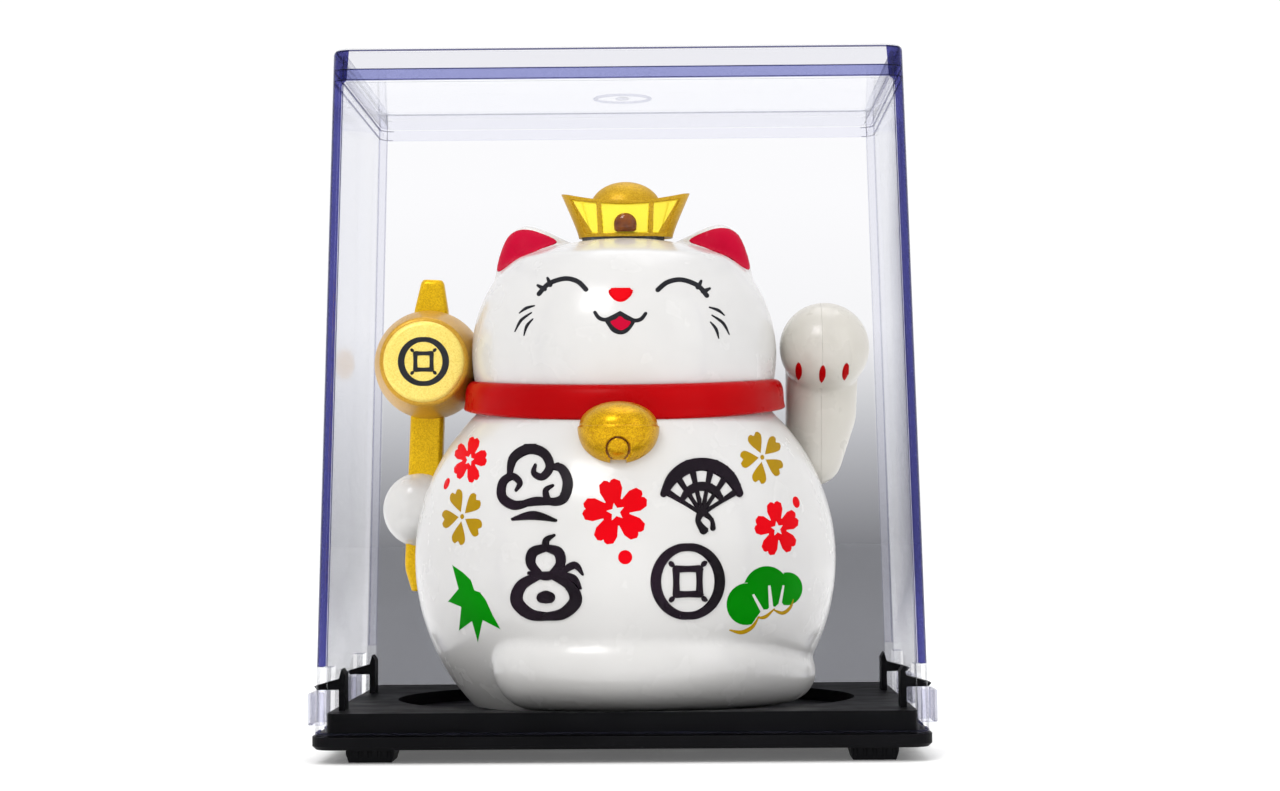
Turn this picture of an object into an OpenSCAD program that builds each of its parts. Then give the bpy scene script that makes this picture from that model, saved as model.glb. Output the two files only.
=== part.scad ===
// Beckoning cat figurine with a waving arm, standing in a black base under a clear lift-off hood.
// Millimetres. +Z up, the front faces -Y, origin at the centre of the case on the surface it stands on.

/* [Case] */
// Outside width of the hood at its foot
case_w = 117; // [115:0.5:120]
// Outside depth of the hood at its foot
case_d = 101; // [100:0.5:106]
// Height of the whole case, feet included
case_h = 137; // [136:1:145]
// Wall thickness of the hood
hood_wall = 2; // [1.6:0.1:2.4]
// How far each hood wall leans in over its height
hood_lean = 3.6; // [3.4:0.1:4.4]
// Height of the raised rim above the hood's top panel
rim_h = 4; // [2:0.5:5]
// Height of the push-in feet
feet_h = 2.7; // [2:0.1:4]
// Thickness of the base's outer flange
flange_h = 2.5; // [2:0.1:3]
// Height of the base's deck above its flange
deck_h = 4.3; // [4:0.1:5]
// Depth of the round recess in the deck
recess_depth = 2.5; // [2:0.1:2.5]

/* [Figure] */
// Greatest radius of the body
body_r = 43.3; // [42:0.1:43.4]
// Greatest radius of the head
head_r = 31.5; // [30.5:0.1:31.5]
// Wall thickness of the moulded shells
skin = 1.8; // [1.4:0.1:2]
// Height of the figure's feet above the surface the case stands on
figure_z = 7; // [7:0.1:7]

/* [Waving arm] */
// Distance from the arm's pivot to the middle of its paw
arm_reach = 22.5; // [21:0.5:23]
// Radius of the waving paw
paw_r = 8.7; // [8:0.1:8.8]
// Diameter of the steel axle
axle_d = 1.6; // [1.4:0.1:2]
// Radial running clearance of the axle in its bushes
axle_gap = 0.05; // [0.02:0.01:0.08]

/* [Hidden] */

round_fn = 96;   // segments on a true round
blend_fn = 32;   // segments on a shape that goes into a hull
eps = 0.01;
far = 200;       // longer than anything in the model

// Heights of the case
hood_z = feet_h + flange_h;
deck_z = hood_z + deck_h;
recess_z = deck_z - recess_depth;
case_corner_r = 4;
flange_proud = 0.5;
flange_edge = 0.7;            // chamfer under the flange
deck_gap = 0.3;              // between the deck and the hood's walls
recess_r = 46.8;             // radius of the round recess
base_wall = 2;
foot_x = 48.1;
foot_y = 40;
foot_w = 9.2;
foot_l = 12;
foot_peg_d = 3;
panel_h = 2.3;               // thickness of the hood's top panel

// Snap tongues on the base, and the slots and bridges they sit in on the hood
tongue_ys = [-36, 20];
tongue_w = 6;
tongue_t = 1.2;
tongue_top = 17.5;
tongue_x = 53.6;
nose_x = 59.6;
nose_z0 = 13.5;
nose_z1 = 15;
slot_w = 7.2;
slot_top = 17.8;
bridge_x = 60;
bridge_t = 1;
bridge_w = 11.2;
bridge_z0 = 6.8;
bridge_z1 = 13.1;

// Heights and radii of the figure's outline
body_mid = 38;               // height of the body's widest ring
shoulder_r = 37.7;           // radius of the body's upper curve
body_z0 = figure_z + 1.2;    // underside of the body
cover_r = 29.5;
cover_t = 1.8;
collar_z0 = 66.5;
collar_z1 = 74.5;
collar_r = 32.8;
neck_r = 29.6;
head_mid = 80;
head_side_r = 27;            // radius of the head's side curve
head_top = 104;
ear_t = 9;
crown_r = 62;                // radius of the head's top curve
post_x = 12;                 // screw posts
post_y = 23;
post_r = 3.2;
post_h = 9;
nub_x = 22;                  // nubs that the figure stands on
nub_y = 16;
tail_r = 33;                 // radius of the ring that the tail follows
tube_r = 7;
tail_from = -121;            // angles of the tail's blunt end and of its root
tail_to = 50;

// Arm pivot and pocket
pivot_y = 10.5;
pivot_z = 59;
pocket_x = 33;               // flat side of the pocket that the arm's shoulder sits in
pocket_r = 7.2;
pocket_half_y = 8.6;
arm_x0 = 33.6;
arm_split_x = 40.8;
arm_wall = 1.3;

// Solar cell in the back
cell_w = 20;
cell_h = 16;
cell_z = 48;
cell_tilt = 15;
cell_y = 38.5;               // distance from the axis to the floor of its pocket
cell_t = 1.2;

// Drive
upright_xs = [12, 26];
upright_t = 2;
frame_screw_xs = [8, 22];
bush_d = 3.6;
lever_x = 20;
magnet_d = 10;
magnet_h = 4;
magnet_z = 26;
coil_z = 17;
coil_h = 5;
frame_z = 12;                // top of the drive frame's foot
frame_foot_r = 30;
board_z = 13;
board_t = 1.2;

// Rounded rectangle plate
module plate(w, d, h, r) {
    linear_extrude(h)
        hull()
            for (x = [-1, 1], y = [-1, 1])
                translate([x * (w / 2 - r), y * (d / 2 - r)]) circle(r, $fn = blend_fn);
}

// Half size of the hood at a height, less an inset
function hood_half_w(z, inset) = case_w / 2 - inset - hood_lean * (z - hood_z) / (case_h - hood_z);
function hood_half_d(z, inset) = case_d / 2 - inset - hood_lean * (z - hood_z) / (case_h - hood_z);

module hood_block(z0, z1, inset) {
    r = case_corner_r - inset;
    hull()
        for (z = [z0, z1], x = [-1, 1], y = [-1, 1])
            translate([x * (hood_half_w(z, inset) - r), y * (hood_half_d(z, inset) - r), z])
                linear_extrude(eps) circle(r, $fn = blend_fn);
}

// Places its children at the four snap tongues, with the second pair turned round to the other side
module at_tongues() {
    for (y = tongue_ys) {
        translate([0, y, 0]) children();
        mirror([1, 0, 0]) translate([0, y, 0]) children();
    }
}

module along_y(length) {
    translate([0, length / 2, 0]) rotate([90, 0, 0]) linear_extrude(length) children();
}

module at_corners(x, y) {
    for (i = [-1, 1], j = [-1, 1]) translate([i * x, j * y, 0]) children();
}

// ---- Case ----

module tongue() {
    along_y(tongue_w)
        polygon([[tongue_x, deck_z - eps], [tongue_x + tongue_t, deck_z - eps],
                 [tongue_x + tongue_t, nose_z0], [nose_x - 0.6, nose_z0], [nose_x, nose_z0 + 0.7],
                 [tongue_x + tongue_t, nose_z1 + 0.6], [tongue_x + tongue_t - 0.5, tongue_top],
                 [tongue_x, tongue_top - 1]]);
}

module case_base() {
    flange_w = case_w + 2 * flange_proud;
    flange_d = case_d + 2 * flange_proud;
    deck_w = case_w - 2 * (hood_wall + deck_gap);
    deck_d = case_d - 2 * (hood_wall + deck_gap);
    color("#0c0c0e") difference() {
        union() {
            hull() {
                translate([0, 0, feet_h])
                    plate(flange_w - 2 * flange_edge, flange_d - 2 * flange_edge, eps, case_corner_r);
                translate([0, 0, feet_h + flange_edge])
                    plate(flange_w, flange_d, flange_h - flange_edge, case_corner_r + flange_proud);
            }
            translate([0, 0, hood_z - eps]) plate(deck_w, deck_d, deck_h + eps, 2);
            at_tongues() tongue();
        }
        translate([0, 0, recess_z]) cylinder(r = recess_r, h = far, $fn = round_fn);
        // open underside, with a thick pad at each corner for the feet
        difference() {
            translate([0, 0, -eps])
                plate(deck_w - 2 * base_wall, deck_d - 2 * base_wall, recess_z - base_wall + eps, 2);
            at_corners(foot_x, foot_y)
                translate([-8, -10, -1]) cube([16, 20, far]);
        }
        at_corners(foot_x, foot_y) cylinder(d = foot_peg_d, h = deck_z - 1.5, $fn = round_fn);
        at_corners(post_x, post_y) cylinder(d = 2.8, h = far, $fn = round_fn);
    }
}

module foot() {
    rib_pitch = foot_w / 5;
    difference() {
        hull() {
            translate([-foot_w / 2 + 0.5, -foot_l / 2 + 0.5, 0]) cube([foot_w - 1, foot_l - 1, eps]);
            translate([-foot_w / 2, -foot_l / 2, feet_h - 1]) cube([foot_w, foot_l, 1]);
        }
        for (i = [-2 : 2], j = [-1, 1])
            translate([i * rib_pitch, j * (foot_l / 2 + 0.1), -eps])
                cylinder(r = 0.5, h = feet_h - 0.4, $fn = round_fn / 4);
    }
    cylinder(d = foot_peg_d - 0.05, h = feet_h + 4, $fn = round_fn);
}

module case_feet() {
    color("#151517") at_corners(foot_x, foot_y) foot();
}

module hood_bridge() {
    z_mid = (bridge_z0 + bridge_z1) / 2;
    h = bridge_z1 - bridge_z0;
    leg_w = (bridge_w - slot_w - 0.6) / 2;
    translate([bridge_x, -bridge_w / 2, bridge_z0]) cube([bridge_t, bridge_w, h]);
    for (side = [-1, 1])
        translate([57 + (bridge_x - 57) / 2 + bridge_t / 2, side * (bridge_w - leg_w) / 2, z_mid])
            cube([bridge_x - 57 + bridge_t, leg_w, h], center = true);
}

module hood() {
    color([0.82, 0.82, 0.95, 0.35]) {
        difference() {
            hood_block(hood_z, case_h - eps, 0);
            hood_block(hood_z - eps, case_h - rim_h - panel_h, hood_wall);
            hood_block(case_h - rim_h, case_h + 1, hood_wall);
            translate([0, 0, case_h - rim_h - 0.4]) cylinder(d = 12, h = 1, $fn = round_fn);
            at_tongues()
                translate([50, -slot_w / 2, 0]) cube([20, slot_w, slot_top]);
        }
        at_tongues() hood_bridge();
    }
}

// ---- Figure outline: half sections, radius along x and height along y ----

module body_section(inset) {
    intersection() {
        translate([0, body_mid]) circle(body_r - inset, $fn = round_fn);
        translate([0, body_z0 - eps]) square([far, body_mid - body_z0 + 2 * eps]);
    }
    intersection() {
        translate([body_r - shoulder_r, body_mid]) circle(shoulder_r - inset, $fn = round_fn);
        translate([0, body_mid]) square([far, collar_z0 - inset - body_mid]);
    }
}

module head_section(inset) {
    intersection() {
        translate([head_r - head_side_r, head_mid]) circle(head_side_r - inset, $fn = round_fn);
        translate([0, head_top - crown_r]) circle(crown_r - inset, $fn = round_fn);
        translate([0, collar_z1 + inset]) square([far, far]);
    }
}

module figure_section(inset) {
    body_section(inset);
    head_section(inset);
    translate([0, collar_z0 - 4]) square([neck_r - inset, collar_z1 - collar_z0 + 8]);
}

module figure_solid(inset) {
    rotate_extrude($fn = round_fn) figure_section(inset);
}

module body_solid(inset) {
    rotate_extrude($fn = round_fn) body_section(inset);
}

// Rounded triangular ear, leaning out; side is -1 or 1
module ear(side) {
    translate([side * 18.8, 0, 97.5]) rotate([0, side * 26, 0])
        along_y(ear_t) hull() {
            translate([0, 5.2]) circle(4.2, $fn = blend_fn);
            for (x = [-1, 1]) translate([x * 7.4, -4]) circle(2.4, $fn = blend_fn);
        }
}

// Tail curled round the foot of the body, from its blunt end at the front left to its root behind
module tail() {
    translate([0, 0, 15.6]) {
        rotate([0, 0, tail_from]) rotate_extrude(angle = tail_to - tail_from, $fn = round_fn)
            translate([tail_r, 0]) circle(tube_r, $fn = round_fn);
        for (a = [tail_from, tail_to])
            rotate([0, 0, a]) translate([tail_r, 0, 0]) sphere(tube_r + 0.2, $fn = round_fn);
    }
}

// Pocket in the right side for the arm's shoulder
module arm_pocket(grow) {
    translate([pocket_x - grow, pivot_y, pivot_z]) rotate([90, 0, 90]) linear_extrude(60) {
        circle(pocket_r + grow, $fn = round_fn);
        translate([-pocket_half_y - grow, 0]) square([2 * (pocket_half_y + grow), 7 + grow]);
    }
}

// Flat-bottomed pocket in the back for the solar cell
module cell_pocket(grow) {
    at_cell() translate([-cell_w / 2 - grow, -grow, -cell_h / 2 - grow])
        cube([cell_w + 2 * grow, far, cell_h + 2 * grow]);
}

module at_cell() {
    translate([0, cell_y, cell_z]) rotate([cell_tilt, 0, 0]) children();
}

// Posts for the screws, each tied to the wall by a rib
module screw_posts() {
    for (x = [-post_x, post_x], y = [-post_y, post_y])
        translate([x, y, body_z0 + cover_t]) rotate([0, 0, atan2(y, x)]) {
            cylinder(r = post_r, h = post_h, $fn = round_fn);
            translate([0, -1, 0]) cube([14, 2, post_h]);
        }
}

module shell_outside() {
    difference() {
        union() {
            figure_solid(0);
            for (side = [-1, 1]) ear(side);
            tail();
        }
        translate([-far / 2, -far / 2, body_z0 - 20]) cube([far, far, 20]);
        arm_pocket(0);
        cell_pocket(0);
    }
}

module shell_inside() {
    difference() {
        union() {
            figure_solid(skin);
            translate([0, 0, body_z0 - 1]) cylinder(r = cover_r + 0.1, h = 4, $fn = round_fn);
        }
        arm_pocket(skin);
        cell_pocket(skin);
        screw_posts();
    }
}

module shell_half(side) {
    difference() {
        intersection() {
            difference() {
                shell_outside();
                shell_inside();
            }
            translate([-far / 2, side < 0 ? -far : 0, 0]) cube([far, far, far]);
        }
        at_corners(post_x, post_y) cylinder(d = 2.4, h = body_z0 + post_h, $fn = round_fn);
        translate([0, pivot_y, pivot_z]) rotate([0, 90, 0]) cylinder(d = 5, h = far, $fn = round_fn);
    }
}

module front_shell() {
    color("#f1efec") shell_half(-1);
}

module rear_shell() {
    color("#ebe9e4") shell_half(1);
}

module bottom_cover() {
    color("#e6e4df") difference() {
        union() {
            translate([0, 0, body_z0]) cylinder(r = cover_r, h = cover_t, $fn = round_fn);
            at_corners(nub_x, nub_y)
                translate([0, 0, figure_z]) cylinder(d = 3.4, h = 1.4, $fn = round_fn);
        }
        at_corners(post_x, post_y) cylinder(d = 2.6, h = far, $fn = round_fn);
        for (x = frame_screw_xs) translate([x, pivot_y, 0]) cylinder(d = 1.8, h = far, $fn = round_fn);
    }
}

// Self-tapping screw with its head down
module screw(d, head_d, head_h, length) {
    cylinder(d = head_d, h = head_h, $fn = round_fn);
    cylinder(d = d, h = length, $fn = round_fn);
    translate([0, 0, length]) cylinder(d1 = d, d2 = 0.6, h = 1.2, $fn = round_fn);
}

module figure_screws() {
    head_h = 1.8;
    color("#b9bcc0") at_corners(post_x, post_y) difference() {
        translate([0, 0, recess_z - base_wall - head_h]) screw(2.3, 4.8, head_h, 12);
        // cross slot in the head
        for (a = [0, 90]) rotate([0, 0, a])
            translate([-1.6, -0.3, 0]) cube([3.2, 0.6, recess_z - base_wall - head_h + 0.8]);
    }
}

// ---- What the figure wears and holds ----

// Soft band round the neck, open at the back
module collar() {
    bulge_r = 6;
    color("#c00010") difference() {
        rotate_extrude($fn = round_fn) intersection() {
            translate([collar_r - bulge_r, (collar_z0 + collar_z1) / 2]) circle(bulge_r, $fn = round_fn);
            translate([neck_r, collar_z0]) square([10, collar_z1 - collar_z0]);
        }
        translate([-3, 0, 0]) cube([6, far, far]);
    }
}

module bell() {
    mid_z = 63.8;
    low_r = 7.8;
    cap_r = 7.9;
    bell_y = -35.3;
    color("#c9960f") difference() {
        translate([0, bell_y, mid_z]) difference() {
            union() {
                intersection() {
                    rotate([90, 0, 0]) sphere(low_r, $fn = round_fn);
                    translate([-10, -10, -20]) cube([20, 20, 20]);
                }
                intersection() {
                    translate([0, 0, -2.6]) rotate([90, 0, 0]) sphere(cap_r, $fn = round_fn);
                    translate([-10, -10, -eps]) cube([20, 20, 20]);
                }
            }
            // sound hole and the slot below it
            translate([0, 0, -3.6]) rotate([90, 0, 0]) difference() {
                cylinder(r = 2.5, h = 20, $fn = round_fn);
                cylinder(r = 2.1, h = 7.2, $fn = round_fn);
            }
            translate([-1.5, -20, -12]) cube([3, 20, 7.2]);
        }
        figure_solid(0);
        collar_space();
    }
}

module collar_space() {
    translate([0, 0, collar_z0 - eps]) cylinder(r = collar_r, h = collar_z1 - collar_z0, $fn = round_fn);
}

// Pad between the hat and the rounded top of the head
module hat_pad() {
    color("#3a3a3e") difference() {
        translate([0, 0, head_top - 1.2]) plate(17, 8, 2, 3.5);
        translate([0, 0, head_top - crown_r]) rotate([90, 0, 0]) sphere(crown_r + 0.02, $fn = round_fn * 2);
    }
}

// Boat-shaped gold ingot worn as a hat
module ingot_hat() {
    foot_z = head_top + 0.8;
    tip_z = 113.6;
    sag_r = 34;
    color("#d8a514") difference() {
        union() {
            difference() {
                hull() {
                    translate([0, 0, foot_z]) scale([1, 0.46, 1]) cylinder(r = 11.3, h = eps, $fn = 2 * blend_fn);
                    translate([0, 0, tip_z]) scale([1, 0.5, 1]) cylinder(r = 13.4, h = eps, $fn = 2 * blend_fn);
                }
                translate([0, 0, tip_z - 2.6 + sag_r])
                    rotate([90, 0, 0]) cylinder(r = sag_r, h = 40, center = true, $fn = round_fn * 2);
            }
            intersection() {
                translate([0, 0, 108.8]) sphere(7, $fn = round_fn);
                translate([-10, -10, foot_z]) cube([20, 20, 20]);
                translate([-10, -5.6, 0]) cube([20, 11.2, far]);
            }
        }
        gem_seat(0);
    }
}

module gem_seat(gap) {
    translate([0, -4.4, 107]) rotate([90, 0, 0]) cylinder(r = 1.9 - gap, h = 2.6, $fn = round_fn);
}

module hat_gem() {
    color("#7a3d18") gem_seat(0);
}

// The mallet's own frame has its head's middle at the origin; it leans a little towards the head
module at_mallet() {
    translate([-41, mallet_y, 78.6]) rotate([0, 2.4, 0]) children();
}

mallet_y = 8.5;
mallet_len = 30;
mallet_r = 11.4;
mallet_end_r = 9.2;
mallet_face_r = 8.3;
handle_w = 7;
handle_t = 4.6;

shaft_z0 = -47.4;
shaft_z1 = mallet_r + 0.2;   // just clear of the barrel, where the taper starts

module handle_shaft(grow) {
    translate([-handle_w / 2 - grow, -handle_t / 2 - grow, shaft_z0])
        cube([handle_w + 2 * grow, handle_t + 2 * grow, shaft_z1 - shaft_z0]);
}

module mallet_head() {
    bulge = mallet_r - mallet_end_r;
    bulge_r = (pow(mallet_len / 2, 2) + pow(bulge, 2)) / (2 * bulge);
    color("#cf9f2a") difference() {
        at_mallet() difference() {
            rotate([90, 0, 0]) rotate_extrude($fn = round_fn) intersection() {
                translate([mallet_r - bulge_r, 0]) circle(bulge_r, $fn = round_fn * 2);
                translate([0, -mallet_len / 2]) square([mallet_r + 1, mallet_len]);
            }
            handle_shaft(0);
            translate([0, -mallet_len / 2 + 0.5, 0]) rotate([90, 0, 0])
                cylinder(r = mallet_face_r, h = 5, $fn = round_fn);
        }
        figure_solid(0);
        collar_space();
    }
}

module mallet_face() {
    color("#e6c14a") at_mallet() translate([0, -mallet_len / 2 + 0.5, 0]) rotate([90, 0, 0]) {
        cylinder(r = mallet_face_r, h = 0.8, $fn = round_fn);
        translate([0, 0, 0.8]) linear_extrude(0.4) coin_motif(5.2);
    }
}

module mallet_handle() {
    color("#d9a520") difference() {
        at_mallet() {
            handle_shaft(0);
            hull() {
                translate([-handle_w / 2, -handle_t / 2, shaft_z1]) cube([handle_w, handle_t, eps]);
                translate([-handle_w / 2 + 1.3, -handle_t / 2 + 0.7, 18])
                    cube([handle_w - 2.6, handle_t - 1.4, eps]);
            }
        }
        body_solid(0);
    }
}

module left_paw() {
    color("#efedea") difference() {
        translate([-43, mallet_y, 48.3]) sphere(7.9, $fn = round_fn);
        at_mallet() handle_shaft(0.05);
        body_solid(0);
    }
}

// ---- Good-luck motifs in place of lettering, drawn flat as seen from the front ----

// Round coin with a square hole
module coin_motif(r) {
    difference() {
        circle(r, $fn = round_fn);
        circle(r * 0.8, $fn = round_fn);
    }
    difference() {
        circle(r * 0.66, $fn = round_fn);
        square(r * 0.5, center = true);
    }
}

// Folding fan
module fan_motif(r) {
    translate([0, -r * 0.75]) difference() {
        intersection() {
            circle(r * 1.75, $fn = round_fn);
            polygon([[0, 0], [-r * 2.2, r * 1.9], [0, r * 4], [r * 2.2, r * 1.9]]);
        }
        for (i = [-2 : 2])
            rotate([0, 0, i * 16]) translate([-r * 0.04, r * 0.55]) square([r * 0.08, r]);
        difference() {
            circle(r * 1.4, $fn = round_fn);
            circle(r * 1.3, $fn = round_fn);
        }
    }
}

// Bottle gourd with a stem
module gourd_motif(r) {
    difference() {
        union() {
            translate([0, -r * 0.42]) circle(r * 0.72, $fn = round_fn);
            translate([0, r * 0.46]) circle(r * 0.46, $fn = round_fn);
            translate([-r * 0.1, r * 0.8]) square([r * 0.2, r * 0.42]);
        }
        translate([0, -r * 0.42]) circle(r * 0.3, $fn = round_fn);
        translate([-r, r * 0.1]) square([r * 2, r * 0.1]);
    }
}

// Cloud of three curls
module cloud_motif(r) {
    difference() {
        union() {
            for (x = [-1, 1]) translate([x * r * 0.55, -r * 0.2]) circle(r * 0.55, $fn = round_fn);
            translate([0, r * 0.4]) circle(r * 0.6, $fn = round_fn);
        }
        for (x = [-1, 1]) translate([x * r * 0.55, -r * 0.2]) circle(r * 0.2, $fn = round_fn);
        translate([0, r * 0.4]) circle(r * 0.24, $fn = round_fn);
    }
}

emblem_r = 7.2;
emblem_h = 0.6;

module belly_emblems() {
    color("#101012") intersection() {
        difference() {
            body_solid(-emblem_h);
            body_solid(0);
        }
        translate([0, -20, 0]) rotate([90, 0, 0]) linear_extrude(30) {
            translate([-16.6, 52.6]) cloud_motif(emblem_r);
            translate([-14, 34.6]) gourd_motif(emblem_r);
            translate([14.6, 51.8]) fan_motif(emblem_r * 0.85);
            translate([12, 34]) coin_motif(emblem_r);
        }
    }
}

// ---- Solar swing drive inside the body ----

module solar_cell() {
    gap = 0.1;
    color("#161a38") at_cell() translate([gap - cell_w / 2, 0, gap - cell_h / 2])
        cube([cell_w - 2 * gap, cell_t, cell_h - 2 * gap]);
}

module circuit_board() {
    color("#1f6b3a") {
        translate([-19, -8, board_z]) cube([22, 16, board_t]);
        translate([-8, 0, body_z0 + cover_t]) cylinder(d = 5, h = board_z - body_z0 - cover_t + eps, $fn = round_fn);
    }
}

module storage_capacitor() {
    color("#2b2f6b") translate([-12, 3, board_z + board_t]) cylinder(d = 8, h = 11, $fn = round_fn);
}

module drive_frame() {
    color("#d8d6d0") difference() {
        union() {
            // the foot's outer corner follows the round wall of the body
            intersection() {
                translate([5, pivot_y - 5.5, body_z0 + cover_t]) cube([24, 11, frame_z - body_z0 - cover_t]);
                cylinder(r = frame_foot_r, h = far, $fn = round_fn);
            }
            for (x = upright_xs) {
                translate([x, pivot_y - 3.5, frame_z - eps]) cube([upright_t, 7, pivot_z - frame_z]);
                translate([x, pivot_y, pivot_z]) rotate([0, 90, 0])
                    cylinder(r = 3.5, h = upright_t, $fn = round_fn);
            }
            translate([lever_x, pivot_y, frame_z - eps]) cylinder(r = 2.4, h = coil_z - frame_z, $fn = round_fn);
        }
        translate([0, pivot_y, pivot_z]) rotate([0, 90, 0]) cylinder(d = bush_d, h = far, $fn = round_fn);
        for (x = frame_screw_xs) translate([x, pivot_y, 0]) cylinder(d = 1.6, h = frame_z + 3, $fn = round_fn);
    }
}

module frame_screws() {
    color("#b9bcc0") for (x = frame_screw_xs)
        translate([x, pivot_y, body_z0 - 1]) screw(1.5, 3, 1, 4);
}

module drive_coil() {
    color("#b4622d") translate([lever_x, pivot_y, coil_z]) difference() {
        cylinder(r = 5.6, h = coil_h, $fn = round_fn);
        cylinder(r = 2.5, h = far, center = true, $fn = round_fn);
    }
}

module axle_bushes() {
    color("#c8a85a") for (x = upright_xs)
        translate([x - 0.3, pivot_y, pivot_z]) rotate([0, 90, 0]) difference() {
            cylinder(d = bush_d, h = upright_t + 0.6, $fn = round_fn);
            cylinder(d = axle_d + 2 * axle_gap, h = far, center = true, $fn = round_fn);
        }
}

module arm_axle() {
    color("#c4c7cb") translate([10.5, pivot_y, pivot_z]) rotate([0, 90, 0])
        cylinder(d = axle_d, h = 33, $fn = round_fn);
}

module pendulum_lever() {
    hub_l = 6;
    color("#e2e0da") difference() {
        union() {
            translate([lever_x - hub_l / 2, pivot_y, pivot_z]) rotate([0, 90, 0])
                cylinder(d = 6, h = hub_l, $fn = round_fn);
            translate([lever_x - 1.5, pivot_y - 2, magnet_z + 5]) cube([3, 4, pivot_z - magnet_z - 6]);
            translate([lever_x, pivot_y, magnet_z + 1]) cylinder(d = magnet_d + 1, h = 5, $fn = round_fn);
        }
        translate([0, pivot_y, pivot_z]) rotate([0, 90, 0]) cylinder(d = axle_d, h = far, $fn = round_fn);
        translate([lever_x, pivot_y, magnet_z]) cylinder(d = magnet_d, h = magnet_h, $fn = round_fn);
    }
}

module pendulum_magnet() {
    color("#9a9da1") translate([lever_x, pivot_y, magnet_z]) cylinder(d = magnet_d, h = magnet_h, $fn = round_fn);
}

// ---- Waving arm: two glued half shells ----

module arm_body(inset) {
    hull() {
        translate([39.2, pivot_y, pivot_z]) sphere(6.3 - inset, $fn = blend_fn);
        translate([41.2, pivot_y - 1, pivot_z + 16]) sphere(7.7 - inset, $fn = blend_fn);
    }
    hull() {
        translate([41.2, pivot_y - 1, pivot_z + 16]) sphere(7.7 - inset, $fn = blend_fn);
        translate([41.2, pivot_y - 6, pivot_z + arm_reach]) sphere(paw_r - inset - 0.4, $fn = blend_fn);
    }
    translate([41, pivot_y - 6.5, pivot_z + arm_reach]) sphere(paw_r - inset, $fn = round_fn);
}

module arm_half(x0, x1) {
    intersection() {
        difference() {
            arm_body(0);
            difference() {
                arm_body(arm_wall);
                translate([0, -far / 2, 0]) cube([arm_x0 + arm_wall, far, far]);
                translate([0, pivot_y, pivot_z]) rotate([0, 90, 0])
                    cylinder(d = 4.4, h = far, $fn = round_fn);
            }
            translate([arm_x0 - 1, pivot_y, pivot_z]) rotate([0, 90, 0])
                cylinder(d = axle_d, h = 43.5 - arm_x0 + 1, $fn = round_fn);
        }
        translate([x0, -far / 2, 0]) cube([x1 - x0, far, far]);
    }
}

module arm_inner_half() {
    color("#ece8dc") arm_half(arm_x0, arm_split_x);
}

module arm_outer_half() {
    color("#ece8dc") arm_half(arm_split_x, far);
}

case_base();
case_feet();
figure_screws();
bottom_cover();
front_shell();
rear_shell();
collar();
bell();
hat_pad();
ingot_hat();
hat_gem();
left_paw();
mallet_handle();
mallet_head();
mallet_face();
belly_emblems();
solar_cell();
circuit_board();
storage_capacitor();
drive_frame();
frame_screws();
drive_coil();
axle_bushes();
arm_axle();
pendulum_lever();
pendulum_magnet();
arm_inner_half();
arm_outer_half();
hood();
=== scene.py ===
"""A beckoning cat with a waving arm, in a black base under a clear lift-off hood.

Shapes are worked out in millimetres in the part's frame (+Z up, the cat faces -Y) and turned into metres
when a mesh is made. The moulded shells, arm, mallet, bell, hat and hood are built here in place of their
plain CAD solids; base, feet, screws and the drive inside the body keep their CAD shapes.
"""

import math

import bmesh
import bpy
from mathutils import Matrix, Vector, noise
from mathutils.bvhtree import BVHTree


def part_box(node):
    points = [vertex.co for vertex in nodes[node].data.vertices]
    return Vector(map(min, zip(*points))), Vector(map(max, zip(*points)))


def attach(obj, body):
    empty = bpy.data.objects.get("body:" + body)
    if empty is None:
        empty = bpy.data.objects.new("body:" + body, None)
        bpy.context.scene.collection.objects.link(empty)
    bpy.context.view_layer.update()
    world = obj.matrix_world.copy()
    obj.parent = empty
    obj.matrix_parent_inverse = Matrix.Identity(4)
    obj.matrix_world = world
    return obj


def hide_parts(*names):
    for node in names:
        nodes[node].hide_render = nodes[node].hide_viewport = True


MM = 0.001

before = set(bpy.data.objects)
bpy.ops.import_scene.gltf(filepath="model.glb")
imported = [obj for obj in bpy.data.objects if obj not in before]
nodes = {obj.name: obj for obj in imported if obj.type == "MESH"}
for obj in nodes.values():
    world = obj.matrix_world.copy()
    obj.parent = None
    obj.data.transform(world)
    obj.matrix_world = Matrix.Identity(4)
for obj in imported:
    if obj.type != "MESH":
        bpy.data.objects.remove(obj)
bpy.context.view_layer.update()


# ---------------------------------------------------------------- sizes, in millimetres

def node_box(name):
    low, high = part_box(name)
    return Vector(low) / MM, Vector(high) / MM


hood_low, hood_high = node_box("hood")

HOOD_Z = hood_low.z
CASE_H = hood_high.z
CASE_D = hood_high.y - hood_low.y
CASE_W = CASE_D + 16
HOOD_LEAN = 3.6
HOOD_WALL = 2.0
RIM_H = 4.0
PANEL_H = 2.3
CASE_R = 4.0
PANEL_TOP = CASE_H - RIM_H
PANEL_LOW = PANEL_TOP - PANEL_H

BODY_R = 43.3
BODY_MID = 38.0
SHOULDER_R = 41.5
BODY_Z0 = 8.2
SHELL_WALL = 1.4
COLLAR_Z0 = 66.5
HEAD_R = 31.5
HEAD_MID = 80.0
HEAD_SIDE_R = 27.0
HEAD_TOP = 104.0
CROWN_R = 62.0

PIVOT = Vector((39.2, 10.5, 59.0))
POCKET_X = 33.0
POCKET_R = 7.2
POCKET_HALF_Y = 8.6
AXLE_HOLE_R = 1.0
ARM_X0 = 33.6
ARM_SPLIT_X = 40.8

MALLET = Vector((-41.0, 8.5, 78.6))
MALLET_LEAN = math.radians(2.4)


# ---------------------------------------------------------------- mesh tools

def smoothstep(a, b, x):
    t = min(1.0, max(0.0, (x - a) / (b - a)))
    return t * t * (3 - 2 * t)


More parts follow.
